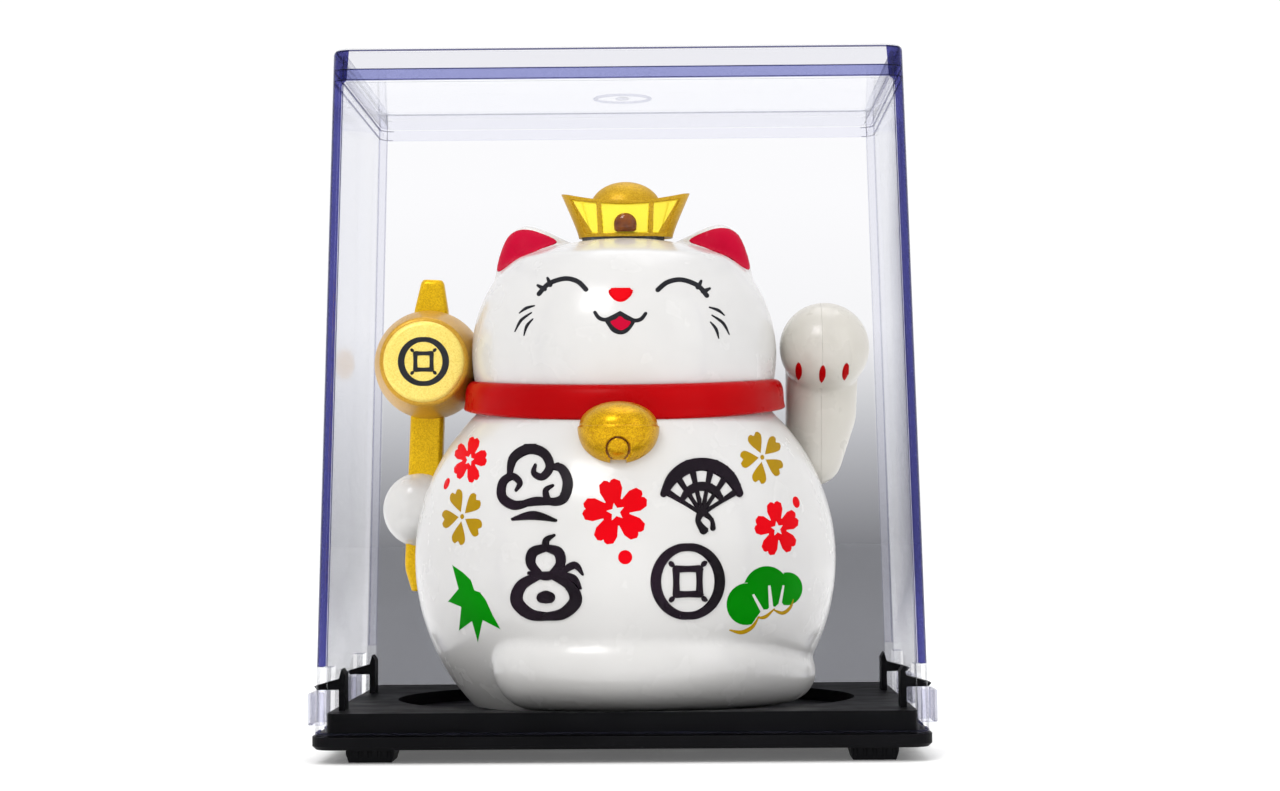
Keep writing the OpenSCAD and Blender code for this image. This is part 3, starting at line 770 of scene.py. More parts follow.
def flowers(skin):
    """Red plum flowers with fallen petals, and gold flowers of five loose petals."""
    bloom, heart = joined_flower(), petal()
    reds = []
    for x, z, size, turn, squeeze in ((-1.0, 47.5, 6.5, 12, 1.0), (-30.5, 58.1, 4.8, -14, 0.8),
                                      (30.4, 44.0, 5.5, 8, 0.84)):
        reds.append([placed(bloom, x, z, size, turn, squeeze),
                     placed(star(0.27, 0.12), x, z, size, turn, squeeze)[::-1]])
    for x, z, r, stretch, turn in ((0.8, 38.8, 1.4, 1.0, 0), (-35.3, 53.4, 0.62, 2.0, -20),
                                   (34.4, 49.2, 0.75, 1.6, 12)):
        reds.append([placed(disc(r, 24, stretch), x, z, 1, turn)])
    mark("print_red_flowers", reds, skin, PRINT_RED, "collar_red")
    golds = []
    for x, z, size, turn, squeeze in ((-31.6, 46.8, 5.6, 24, 0.8), (27.7, 58.1, 5.3, 24, 0.84)):
        golds.append([placed(disc(0.1), x, z, size, turn, squeeze)])
        for k in range(5):
            golds.append([placed(placed(heart, 0, 0, turn=72 * k), x, z, size, turn, squeeze)])
    mark("print_gold_flowers", golds, skin, PRINT_OCHRE, "gold")


def leaves(skin):
    """A green maple leaf, and a green pine crown over an ochre line."""
    maple = [(-33.7, 37.3), (-31.4, 35.9), (-29.7, 34.4), (-29.0, 32.4), (-27.8, 32.0), (-26.7, 30.6),
             (-25.3, 27.6), (-23.7, 24.7), (-27.4, 26.5), (-28.6, 22.0), (-29.7, 26.2), (-32.6, 24.2),
             (-31.9, 29.0), (-34.8, 30.0), (-32.4, 32.6)]
    pine = []
    for cx, cz, r, start, end in ((24.9, 28.9, 4.5, 285, 85), (29.4, 31.6, 5.3, 160, 40),
                                  (34.2, 31.9, 3.6, 105, -90)):
        pine += arc(cx, cz, r, start, end, 16)
    pine += [(33.3, 28.4), (32.9, 29.0), (33.5, 32.6), (33.1, 32.7), (32.2, 28.8), (31.4, 28.1),
             (30.9, 28.2), (30.3, 32.7), (29.8, 32.7), (30.0, 28.0), (29.6, 27.6), (28.7, 27.6),
             (26.6, 31.0), (26.2, 30.8), (28.1, 27.2)]
    pine = [(28.3 + (x - 29.6) * 0.88, 30.6 + (z - 30.2) * 0.92) for x, z in pine]
    mark("print_green_leaves", [[maple], [pine]], skin, PRINT_GREEN, "board_green")
    under = [stroke([(20.9, 24.4), (23.2, 23.9), (25.3, 24.9), (26.6, 26.9)], (0.4, 0.9, 0.8, 0.3)),
             stroke([(26.4, 26.7), (27.9, 26.8), (29.7, 28.3)], (0.4, 0.8, 0.3)),
             stroke([(29.6, 28.1), (31.4, 27.4), (32.9, 28.4), (33.6, 30.1)], (0.4, 0.8, 0.7, 0.2))]
    mark("print_ochre_ground", [[u] for u in under], skin, PRINT_OCHRE, "gold")


EMBLEM_WEIGHT = 1.06


def cloud_strokes():
    """A good-luck cloud: three curls on a flat foot, with a line of wind below."""
    return [
        ([(-0.16, -0.46), (-0.62, -0.52), (-1.0, -0.3), (-0.98, 0.1), (-0.68, 0.26), (-0.44, 0.08),
          (-0.56, -0.12)], (0.2, 0.28, 0.28, 0.26, 0.22, 0.18, 0.1)),
        ([(-0.78, 0.28), (-0.66, 0.76), (-0.18, 1.0), (0.3, 0.88), (0.5, 0.52), (0.28, 0.24), (0.0, 0.34),
          (0.04, 0.56)], (0.16, 0.28, 0.3, 0.28, 0.26, 0.22, 0.18, 0.1)),
        ([(0.5, 0.5), (0.86, 0.46), (1.06, 0.08), (0.92, -0.36), (0.5, -0.42), (0.38, -0.14), (0.6, 0.0)],
         (0.16, 0.26, 0.3, 0.28, 0.22, 0.18, 0.1)),
        ([(-0.3, -0.48), (0.1, -0.42), (0.56, -0.44)], (0.2, 0.26, 0.2)),
        ([(-0.66, -0.9), (0.0, -0.8), (0.7, -0.94)], (0.1, 0.26, 0.1)),
    ]


def gourd_strokes():
    """A bottle gourd tied with a ribbon at its waist."""
    return [
        ([(0.02, 0.8), (-0.34, 0.68), (-0.4, 0.38), (-0.18, 0.12)], (0.2, 0.28, 0.26, 0.2)),
        ([(-0.02, 0.8), (0.34, 0.68), (0.4, 0.38), (0.18, 0.12)], (0.18, 0.28, 0.26, 0.2)),
        ([(-0.16, 0.08), (-0.66, -0.18), (-0.8, -0.6), (-0.44, -0.94), (0.06, -1.0)],
         (0.2, 0.3, 0.34, 0.3, 0.22)),
        ([(0.16, 0.08), (0.64, -0.18), (0.8, -0.58), (0.46, -0.92), (0.0, -1.0)],
         (0.2, 0.28, 0.34, 0.3, 0.22)),
        ([(-0.46, 0.14), (0.0, 0.06), (0.44, 0.14)], (0.1, 0.24, 0.16)),
        ([(0.4, 0.13), (0.78, 0.34), (1.0, 0.1)], (0.16, 0.2, 0.08)),
        ([(0.4, 0.11), (0.76, 0.0), (0.94, -0.26)], (0.14, 0.18, 0.08)),
        ([(0.0, 0.8), (0.03, 1.0), (0.24, 1.12)], (0.2, 0.18, 0.08)),
        ([(-0.1, -0.5), (0.0, -0.49), (0.1, -0.5)], (0.3, 0.34, 0.3)),
    ]


def fan_strokes():
    """An open folding fan with a tassel."""
    def at(angle, r):
        x, z = polar(r, angle)
        return x, z - 0.62

    made = [([at(a, 0.1), at(a, 0.6), at(a, 1.22)], (0.13, 0.13, 0.2)) for a in (28, 52, 76, 104, 128, 152)]
    made.append(([at(a, 1.3) for a in range(24, 157, 22)], (0.22, 0.34, 0.38, 0.36, 0.38, 0.34, 0.2)))
    made.append(([at(a, 0.72) for a in range(30, 151, 24)], (0.14, 0.24, 0.26, 0.26, 0.24, 0.14)))
    made.append(([(0.0, -0.55), (-0.12, -0.8), (0.05, -1.05)], (0.26, 0.16, 0.24)))
    made.append(([(0.04, -0.58), (0.3, -0.78), (0.34, -1.0)], (0.2, 0.12, 0.16)))
    return made


def coin_strokes():
    """An old round coin with a square hole."""
    made = []
    for start in (80, 260):
        made.append((arc(0, 0, 0.88, start, start + 200, 8),
                     (0.2, 0.22, 0.25, 0.27, 0.28, 0.27, 0.25, 0.22, 0.2)))
    side = 0.32
    for a in (135, 45, -45, -135):
        (x0, z0), (x1, z1) = polar(side * math.sqrt(2), a), polar(side * math.sqrt(2), a - 90)
        made.append(([(x0, z0), ((x0 + x1) / 2, (z0 + z1) / 2), (x1, z1)], (0.2, 0.17, 0.2)))
    for a in (45, 135, 225, 315):
        made.append(([polar(r, a) for r in (0.6, 0.63, 0.66)], (0.13, 0.15, 0.13)))
    return made


def emblem(name, strokes, x, z, half_w, half_h, skin, replaced=()):
    """Raised glossy brush strokes. Each lies a hair higher than the last, so that crossings stay clean."""
    parts = []
    for i, (line, widths) in enumerate(strokes):
        scaled = [(x + p[0] * half_w, z + p[1] * half_h) for p in line]
        outline = stroke(scaled, [EMBLEM_WEIGHT * w * (half_w + half_h) / 2 for w in widths])
        parts.append(pad_bmesh([[outline]], skin, 0.28 + 0.012 * i, 0.16, grid=1.2))
    obj = make_object(name, join(parts), 50)
    piece(obj, "case", "print_black", PRINT_BLACK, *replaced)


def emblems(skin):
    emblem("emblem_cloud", cloud_strokes(), -17.0, 52.7, 6.3, 7.2, skin, ("belly_emblems",))
    emblem("emblem_gourd", gourd_strokes(), -14.6, 34.8, 7.2, 7.4, skin)
    emblem("emblem_fan", fan_strokes(), 15.6, 51.6, 6.2, 7.4, skin)
    emblem("emblem_coin", coin_strokes(), 12.8, 34.0, 7.0, 7.6, skin)


def face(skin):
    """Closed eyes with lashes, whiskers, nose and an open smile."""
    brow, whisker = (1.05,) * 5, (0.3, 0.68, 0.36)
    outer_lash, inner_lash = (0.95, 0.9, 0.6), (0.95, 0.85, 0.6)
    lines = [
        (brow, [(-16.4, 91.0), (-14.4, 93.0), (-11.2, 93.9), (-8.6, 93.2), (-6.9, 91.5)]),
        (brow, [(17.0, 90.4), (15.2, 92.4), (12.0, 93.5), (9.2, 92.9), (7.3, 91.3)]),
        (outer_lash, [(-15.2, 91.9), (-15.9, 92.3), (-16.7, 92.8)]),
        (inner_lash, [(-14.1, 92.7), (-14.4, 93.5), (-14.7, 94.2)]),
        (inner_lash, [(15.2, 92.0), (15.6, 92.7), (15.9, 93.4)]),
        (outer_lash, [(16.2, 91.2), (16.9, 91.5), (17.6, 91.9)]),
        (whisker, [(-20.4, 87.3), (-19.0, 88.2), (-17.3, 88.6)]),
        (whisker, [(-21.3, 83.6), (-20.0, 85.8), (-17.9, 87.2)]),
        (whisker, [(-19.4, 82.7), (-18.8, 84.6), (-17.6, 85.9)]),
        (whisker, [(20.5, 86.5), (19.2, 87.5), (17.5, 88.0)]),
        (whisker, [(21.4, 82.7), (20.2, 84.9), (18.0, 86.4)]),
        (whisker, [(19.3, 81.8), (18.8, 83.6), (17.7, 85.0)]),
    ]
    loops = [[stroke(points, widths)] for widths, points in lines]
    mark("face_lines", loops, skin, LINE_BLACK, "print_black", 0.06, 0.05, grid=0.9)
    smile = [
        stroke([(-5.1, 86.8), (-4.3, 85.7), (-3.0, 85.3), (-1.5, 85.9), (-0.15, 86.8)],
               (0.75, 0.85, 0.85, 0.8, 0.5)),
        stroke([(4.9, 86.5), (4.0, 85.4), (2.7, 85.1), (1.3, 85.8), (-0.1, 86.8)],
               (0.75, 0.85, 0.85, 0.8, 0.5)),
    ]
    jaw = catmull([(-3.2, 85.4), (-1.6, 85.8), (-0.15, 86.6), (1.4, 85.7), (2.9, 85.2), (2.2, 83.7),
                   (1.1, 82.6), (-0.2, 82.3), (-1.6, 82.8), (-2.5, 83.9)], 5, True)
    mark("face_mouth", [[jaw]], skin, LINE_BLACK, "print_black", 0.075, 0.05, grid=0.8)
    mark("face_smile", [[line] for line in smile], skin, LINE_BLACK, "print_black", 0.06, 0.05, grid=0.8)
    tongue = catmull([(-2.05, 84.9), (-1.0, 85.4), (-0.1, 86.0), (0.9, 85.3), (2.0, 84.8), (1.3, 83.7),
                      (0.0, 83.1), (-1.3, 83.8)], 5, True)
    mark("face_tongue", [[tongue]], skin, CRIMSON, "collar_red", 0.13, 0.06, grid=0.8)
    nose = catmull([(-2.4, 91.3), (-1.3, 91.75), (0.0, 91.7), (1.3, 91.75), (2.35, 91.25), (2.2, 90.2),
                    (1.1, 89.1), (0.0, 88.75), (-1.2, 89.1), (-2.3, 90.3)], 5, True)
    mark("face_nose", [[nose]], skin, PRINT_RED, "collar_red", 0.34, 0.42, grid=0.7)
    left = catmull([(-25.9, 97.2), (-25.3, 101.2), (-23.6, 104.7), (-20.8, 105.9), (-17.2, 105.2),
                    (-13.6, 103.2), (-17.2, 101.4), (-21.6, 99.2)], 5, True)
    for name, side in (("ear_inner_left", 1), ("ear_inner_right", -1)):
        mark(name, [[[Vector((p.x * side, p.y)) for p in left]]], skin, CRIMSON, "collar_red", 0.16, 0.12,
             grid=0.6)


# ---------------------------------------------------------------- arm

def arm():
    """The waving arm, from its shoulder up to its paw, in two halves with three red claws."""
    elbow = (41.0, 9.8, 68.0)
    parts = [
        capsule(PIVOT, elbow, 6.3, 7.4),
        capsule(elbow, (41.2, 8.6, 77.0), 7.4, 7.6),
        capsule((41.2, 8.4, 77.0), (41.2, 5.6, 80.6), 7.6, 8.2),
        ball(Vector((41.6, 4.0, 81.4)), 9.35, 96, 64),
    ]
    whole = blended("arm_whole", parts, 0.42, 7)
    # flat where the shoulder turns in its pocket
    boolean(whole, block((20, -20, 40), (ARM_X0, 40, 71)), sharp=40)
    skin = cast_skin(whole)
    for name, side, node in (("arm_inner", -1, "arm_inner_half"), ("arm_outer", 1, "arm_outer_half")):
        half = copy_object(whole, name)
        cut_plane(half, (ARM_SPLIT_X + side * 0.015, 0, 0), (-side, 0, 0), True, 40)
        piece(half, "arm", "arm_cream", CREAM, node)
    bpy.data.objects.remove(whole, do_unlink=True)
    half_claw = [(0.06, 1.8), (0.42, 1.45), (0.66, 0.8), (0.74, 0.0), (0.66, -0.8), (0.42, -1.45),
                 (0.06, -1.8)]
    claw = half_claw + [(-x, -z) for x, z in half_claw]
    claws = []
    for x, z, lean in ((36.0, 76.3, 3), (40.8, 75.6, -4), (45.6, 76.1, -9)):
        claws.append([placed(catmull(claw, 4, True), x, z, 1, lean)])
    mark("arm_claws", claws, skin, RED, "collar_red", 0.16, 0.2, "arm", 0.7)


# ---------------------------------------------------------------- collar, bell, hat

def collar():
    """Red band that dips and widens towards the front, with a rolled lower edge."""
    section = [(29.4, -0.94), (31.8, -1.0), (32.8, -0.97), (33.25, -0.86), (33.1, -0.68), (32.9, -0.4),
               (32.95, 0.05), (32.75, 0.5), (32.3, 0.82), (31.5, 0.97), (30.4, 1.0), (29.4, 0.94)]
    mid_z, dip, half_h, swell = 71.7, 2.75, 3.15, 0.5
    rings = []
    segments = 200
    # half of the gap at the back, as an angle
    opening = math.radians(2.6)
    for i in range(segments + 1):
        a = math.pi / 2 + opening + (2 * math.pi - 2 * opening) * i / segments
        front = max(0.0, -math.sin(a)) ** 1.2
        middle = mid_z - dip * front
        half = half_h + swell * front
        sway = 0.08 * noise.noise(Vector((3 * math.cos(a), 3 * math.sin(a), 1.7)))
        rings.append([
            Vector(((r + sway) * math.cos(a), (r + sway) * math.sin(a), middle + half * t))
            for r, t in section
        ])
    obj = make_object("collar_band", rings_to_bmesh(rings), 50)
    mod = obj.modifiers.new("soft", "SUBSURF")
    mod.levels = mod.render_levels = 1
    piece(obj, "case", "collar_red", RED, "collar")


def set_materials(obj, materials, origin, is_second):
    """Two materials; a face gets the second one where its middle, seen from the origin, passes the test."""
    obj.data.materials.clear()
    for material in materials:
        obj.data.materials.append(material)
    for polygon in obj.data.polygons:
        polygon.material_index = 1 if is_second(polygon.center / MM - origin) else 0


BELL = Vector((-0.5, -35.3, 64.1))


def bell():
    """A flattened cap on a round bowl, with a grooved boss and a slot in the bowl's front."""
    low_r, high_r, high_h = 8.0, 7.65, 4.8
    lip_z = 0.16
    boss_z, groove_r = -4.5, 2.2
    profile = [(0, -low_r)] + arc(0, 0, low_r, -89, -3, 90)
    profile += [(low_r - 0.02, -0.1), (low_r - 0.12, 0.08), (high_r + 0.05, lip_z)]
    for i in range(1, 50):
        a = math.radians(90 * i / 50)
        profile.append((high_r * math.cos(a), lip_z + high_h * math.sin(a)))
    bm = lathe(profile + [(0, lip_z + high_h)], 256)
    for v in bm.verts:
        if v.co.y < 0 and v.co.z < 0.05:
            d = math.hypot(v.co.x, v.co.z - boss_z)
            groove = math.exp(-((d - groove_r) / 0.17) ** 2)
            lip = math.exp(-((d - 2.75) / 0.35) ** 2)
            knob = max(0.0, 1 - (d / 2.05) ** 2)
            v.co -= v.co.normalized() * (0.42 * groove - 0.1 * lip - 0.35 * knob)
    bmesh.ops.translate(bm, vec=BELL, verts=bm.verts)
    obj = make_object("bell_body", bm, 45)
    boolean(obj, block(BELL + Vector((-1.6, -12, -12)), BELL + Vector((1.6, 1, -6.5))), sharp=45)
    # faces along the groove take the dark brown: painted shade in the groove
    set_materials(obj, (BELL_GOLD_SHADED, GROOVE_SHADE), BELL, lambda p: p.y < 0 and p.z > -6.4
                  and abs(math.hypot(p.x, p.z - boss_z) - groove_r) < 0.16)
    piece(obj, "case", "gold", None, "bell")


HAT_BASE = 104.2
HAT_MID_X = 0.5
HAT_HALF_W = 9.7
HAT_FLARE = 3.6


def hat_flare(v):
    """How wide the ingot's side has opened at a height from 0 to 1."""
    return v ** 1.25


def hat_top(x):
    """The rim's height, which rises to the two ends."""
    return 111.5 + 1.8 * (abs(x) / 13.3) ** 2.2


def hat_point(u, v):
    """A point of the ingot's side: u is the angle round it, v the height from 0 to 1."""
    half_w = HAT_HALF_W + HAT_FLARE * hat_flare(v)
    half_d = 4.7 + 1.5 * hat_flare(v)
    c, s = math.cos(u), math.sin(u)
    power = 2 / 2.6
    x = half_w * math.copysign(abs(c) ** power, c)
    y = half_d * math.copysign(abs(s) ** power, s)
    return Vector((x, y, HAT_BASE + v * (hat_top(x) - HAT_BASE)))


def panel_depth(p, v):
    """How deep inside a polished panel a point is: 0 on the ribs, 1 in a panel."""
    inside_v = smoothstep(0.08, 0.12, v) * (1 - smoothstep(0.88, 0.92, v))
    edge = HAT_HALF_W + HAT_FLARE * hat_flare(v)
    x = abs(p.x)
    rib = 4.75 + 0.35 * v
    centre = 1 - smoothstep(rib - 0.25, rib, x)
    side = smoothstep(rib + 0.7, rib + 0.95, x) * (1 - smoothstep(edge - 1.7, edge - 1.4, x))
    return inside_v * max(centre, side) if abs(p.y) > 1.5 else 0.0


def hat():
    """The gold ingot with sunken polished panels, its dome and the gem on its front."""
    around, up = 360, 70
    rings = []
    for j in range(up + 1):
        v = j / up
        ring = []
        for i in range(around):
            u = 2 * math.pi * i / around
            p = hat_point(u, v)
            depth = panel_depth(p, v)
            out = Vector((p.x / 60, math.copysign(1, p.y), 0)).normalized()
            ring.append(p - out * 0.4 * depth)
        rings.append(ring)
    inner = []
    for scale, drop in ((0.95, 0.0), (0.9, 0.25), (0.82, 0.7), (0.6, 1.0), (0.3, 1.1)):
        inner.append([Vector((p.x * scale, p.y * scale, p.z - drop)) for p in rings[up]])
    bottom = [[Vector((p.x * 0.8, p.y * 0.8, HAT_BASE + 0.5)) for p in rings[0]]]
    bm = rings_to_bmesh(bottom + rings + inner)
    dome_r, dome_h, dome_z = 7.4, 5.6, 110.3
    quarter = [math.radians(a) for a in range(0, 90, 3)]
    dome = lathe([(dome_r * math.cos(a), dome_h * math.sin(a)) for a in quarter] + [(0, dome_h)], 128)
    for v in dome.verts:
        v.co = Vector((v.co.x, v.co.y * 0.72, v.co.z + dome_z))
    both = join([bm, dome])
    bmesh.ops.translate(both, vec=(HAT_MID_X, 0, 0), verts=both.verts)
    obj = make_object("ingot_body", both, 40)

    def polished_and_highlit(p):
        v = (p.z - HAT_BASE) / (hat_top(p.x) - HAT_BASE)
        return abs(p.y) > 3.6 and 0 < v < 1 and panel_depth(p, v) > 0.5

    # panels take the bright yellow, which is their polish plus a painted highlight; the ribs take the matt
    # gold
    set_materials(obj, (GOLD_MATT, YELLOW_LIT), Vector((HAT_MID_X, 0, 0)), polished_and_highlit)
    piece(obj, "case", "ingot_yellow", None, "ingot_hat")
    arch = [(-1.7, -1.9), (-2.25, -1.5)]
    arch += [(2.35 * math.cos(math.radians(a)), -0.3 + 2.3 * math.sin(math.radians(a)))
             for a in range(180, -1, -12)]
    arch += [(2.25, -1.5), (1.7, -1.9)]
    centre = Vector((HAT_MID_X, -5.2, 107.0))
    rings = []
    for scale, y in ((1.0, 1.5), (1.0, 0.1), (0.93, -0.25), (0.75, -0.55), (0.45, -0.75)):
        rings.append([centre + Vector((x * scale, y, z * scale)) for x, z in arch])
    gem = make_object("ingot_gem", rings_to_bmesh(rings), 40)
    bevel(gem, 0.1, 2, 30)
    piece(gem, "case", "gem_brown", GEM, "hat_gem")


# ---------------------------------------------------------------- mallet and the paw that grips it

def in_mallet():
    return Matrix.Translation(MALLET) @ Matrix.Rotation(MALLET_LEAN, 4, "Y")


def turned(name, profile, material, slot, replaced):
    """A round piece of the mallet, made from (radius, distance to the front)."""
    bm = lathe(profile, 128)
    turn = Matrix.Rotation(math.radians(90), 4, "X")
    bmesh.ops.transform(bm, matrix=in_mallet() @ turn, verts=bm.verts)
    obj = make_object(name, bm, 40)
    piece(obj, "case", slot, material, replaced)
    return obj


def mallet():
    """A long barrel, widest in the middle, with a raised bright disc on its front end."""
    widest, narrowing, bow, half_length = 11.4, 2.1, 13.5, 14.6
    rim = [(8.4, half_length), (8.95, 14.45), (9.2, 14.1)]
    barrel = [(0, -half_length)] + [(r, -z) for r, z in rim]
    barrel += [(widest - narrowing * (z / bow) ** 2, z) for z in (-bow + 2 * bow * i / 30 for i in range(31))]
    barrel += rim[::-1] + [(0, half_length)]
    turned("mallet_barrel", barrel, GOLD_SATIN, "gold", "mallet_head")
    face_disc = [(0, 15.3), (7.3, 15.28), (7.85, 15.15), (8.2, 14.9), (8.35, 14.6), (8.35, 14.0)]
    skin = cast_skin(turned("mallet_disc", face_disc, GOLD_BRIGHT, "gold_face", "mallet_face"))
    size = 5.2
    parts = []
    for i, (line, widths) in enumerate(coin_strokes()):
        loop = stroke(placed(line, MALLET.x, MALLET.z, size), [w * size for w in widths])
        parts.append(pad_bmesh([[loop]], skin, 0.1 + 0.008 * i, 0.08))
    piece(make_object("mallet_motif", join(parts), 50), "case", "print_black", INK_GREY)


def handle():
    """A flat bar with chamfered edges, tapered at both ends."""
    half_w, half_t, chamfer = 3.5, 2.3, 0.7
    sections = [(-47.4, 0.55, 0.7), (-43.2, 0.94, 0.95), (-41.7, 1.0, 1.0), (11.4, 1.0, 1.0),
                (17.2, 0.68, 0.8), (17.9, 0.56, 0.62)]
    rings = []
    for z, sw, st in sections:
        w, t, c = half_w * sw, half_t * st, chamfer
        right = [(w - c, -t), (w, -t + c), (w, t - c), (w - c, t)]
        outline = right + [(-x, y) for x, y in right[::-1]]
        rings.append([in_mallet() @ Vector((x, y, z)) for x, y in outline])
    obj = make_object("mallet_shaft", rings_to_bmesh(rings), 25)
    bevel(obj, 0.22, 2, 20)
    piece(obj, "case", "gold", GOLD, "mallet_handle")


def left_paw():
    """The round paw that holds the mallet, with three faint knuckles."""
    centre = Vector((-43.0, MALLET.y, 48.3))
    parts = [ball(centre, 7.9, 64, 44)]
    for a in (math.radians(-28), 0, math.radians(28)):
        parts.append(ball(centre + Vector((-1.2, -3.4 * math.cos(a), 5.0 * math.sin(a))), 4.5))
    obj = blended("paw_left", parts, 0.4, 10)
    piece(obj, "case", "body_white", WHITE, "left_paw")


# ---------------------------------------------------------------- clear hood

def wall_lean(z):
    """How far the walls lean in at a height."""
    return HOOD_LEAN * (z - HOOD_Z) / (CASE_H - HOOD_Z)


def hood_ring(z, inset, per_corner=10):
    """Rounded rectangle at a height, that far inside the outer faces."""
    half_w = CASE_W / 2 - inset - wall_lean(z)
    half_d = CASE_D / 2 - inset - wall_lean(z)
    r = max(0.3, CASE_R - inset)
    ring = []
    for sx, sy, start in ((1, 1, 0), (-1, 1, 90), (-1, -1, 180), (1, -1, 270)):
        corner = arc(sx * (half_w - r), sy * (half_d - r), r, start, start + 90, per_corner)
        ring += [Vector((x, y, z)) for x, y in corner]
    return ring


TONGUE_YS = (-36.0, 20.0)


def cut_slots(obj, half, top):
    """Opens the slots for the base's four tongues, down to the hood's lower edge."""
    for y in TONGUE_YS:
        for side in (-1, 1):
            boolean(obj, block((side * 60 - 10, y - half, 0), (side * 60 + 10, y + half, top)), sharp=30)


def hood():
    """The clear cover: walls, top panel and raised rim in one shell."""
    wall_steps = (0.25, 0.5, 0.75)
    outside = [hood_ring(HOOD_Z, 0.15), hood_ring(HOOD_Z + 0.3, 0.0)]
    outside += [hood_ring(HOOD_Z + (CASE_H - HOOD_Z) * t, 0.0) for t in wall_steps]
    rim_edge = ((1.0, 0.0), (0.5, 0.13), (0.13, 0.5), (0.0, 0.95), (0.0, HOOD_WALL - 0.5),
                (0.15, HOOD_WALL - 0.12), (0.5, HOOD_WALL))
    outside += [hood_ring(CASE_H - drop, inset) for drop, inset in rim_edge]
    outside += [hood_ring(PANEL_TOP + rise, HOOD_WALL + inset)
                for rise, inset in ((0.4, 0), (0, 0.4), (0, 1.2))]
    inside = [hood_ring(HOOD_Z, HOOD_WALL - 0.15), hood_ring(HOOD_Z + 0.3, HOOD_WALL)]
    inside += [hood_ring(HOOD_Z + (PANEL_LOW - HOOD_Z) * t, HOOD_WALL) for t in wall_steps]
    inside += [hood_ring(PANEL_LOW - drop, HOOD_WALL + inset)
               for drop, inset in ((0.8, 0), (0.2, 0.2), (0, 0.8), (0, 1.6))]
    skins = []
    for rings in (outside, inside):
        skin = rings_to_bmesh(rings, caps=False)
        skin.verts.ensure_lookup_table()
        skin.faces.new(skin.verts[-len(rings[0]):])
        skins.append(skin)
    foot = rings_to_bmesh([outside[0], inside[0]], caps=False)
    whole = join([*skins, foot])
    bmesh.ops.remove_doubles(whole, verts=whole.verts, dist=0.001)
    obj = make_object("hood_cover", whole, 30)
    cut_slots(obj, 3.6, 17.8)
    piece(obj, "hood", "hood_clear", CLEAR, "hood")


# the tinted edges stand this far inside the cover's faces
GAP = 0.06
EDGE_Z0 = 18.4


def corner_columns():
    """Wedges in the upright corners, where the thick plastic shows its violet tint."""
    # height, how far round the corner the tint reaches, how deep it goes, how far it stands in
    levels = [(EDGE_Z0, 49, 1.6, GAP), (60.0, 50, 1.6, GAP), (PANEL_LOW - 0.3, 51, 1.6, GAP),
              (PANEL_LOW, 76, 1.9, GAP), (CASE_H - 0.9, 80, 1.9, GAP + 0.02), (CASE_H - 0.4, 80, 1.7, 0.3)]
    back_reach = 50
    for name, sy, material in (("hood_corner_tint", -1, VIOLET_DEEP), ("hood_back_tint", 1, VIOLET_FAINT)):
        parts = []
        for sx in (-1, 1):
            rings = []
            for z, reach, deep, inset in levels:
                half_w = CASE_W / 2 - inset - wall_lean(z)
                r = CASE_R - inset
                cy = CASE_D / 2 - inset - wall_lean(z) - r
                turn = reach if sy < 0 else min(reach, back_reach)
                outline = [(half_w, cy - 0.5), *arc(half_w - r, cy, r, 0, turn, 8), (half_w - deep, cy - 0.5)]
                rings.append([Vector((sx * x, sy * y, z)) for x, y in outline])
            parts.append(rings_to_bmesh(rings))
        piece(make_object(name, join(parts), 30), "hood", "hood_clear", material)


def line_ring(z0, z1, inset0, inset1):
    """A frame round the hood between two heights and two depths."""
    corners = ((z0, inset0), (z1, inset0), (z1, inset1), (z0, inset1))
    return rings_to_bmesh([hood_ring(z, inset) for z, inset in corners], closed_path=True)


def cut_across(bm, y, side):
    """Drops what lies past a plane across Y on that side, and closes the cut."""
    bmesh.ops.bisect_plane(bm, geom=bm.verts[:] + bm.edges[:] + bm.faces[:], plane_co=(0, y, 0),
                           plane_no=(0, side, 0), clear_outer=True)
    bmesh.ops.holes_fill(bm, edges=bm.edges[:])


def panel_bands():
    """The top panel's edge: violet in front, nearly clear from there to the back."""
    for name, side, material in (("hood_panel_tint", -1, VIOLET), ("hood_panel_back_tint", 1, VIOLET_FAINT)):
        band = line_ring(PANEL_LOW + GAP, PANEL_TOP - GAP, GAP, HOOD_WALL + 1.0)
        cut_across(band, side * 46.0, -side)
        piece(make_object(name, band, 30), "hood", "hood_clear", material)


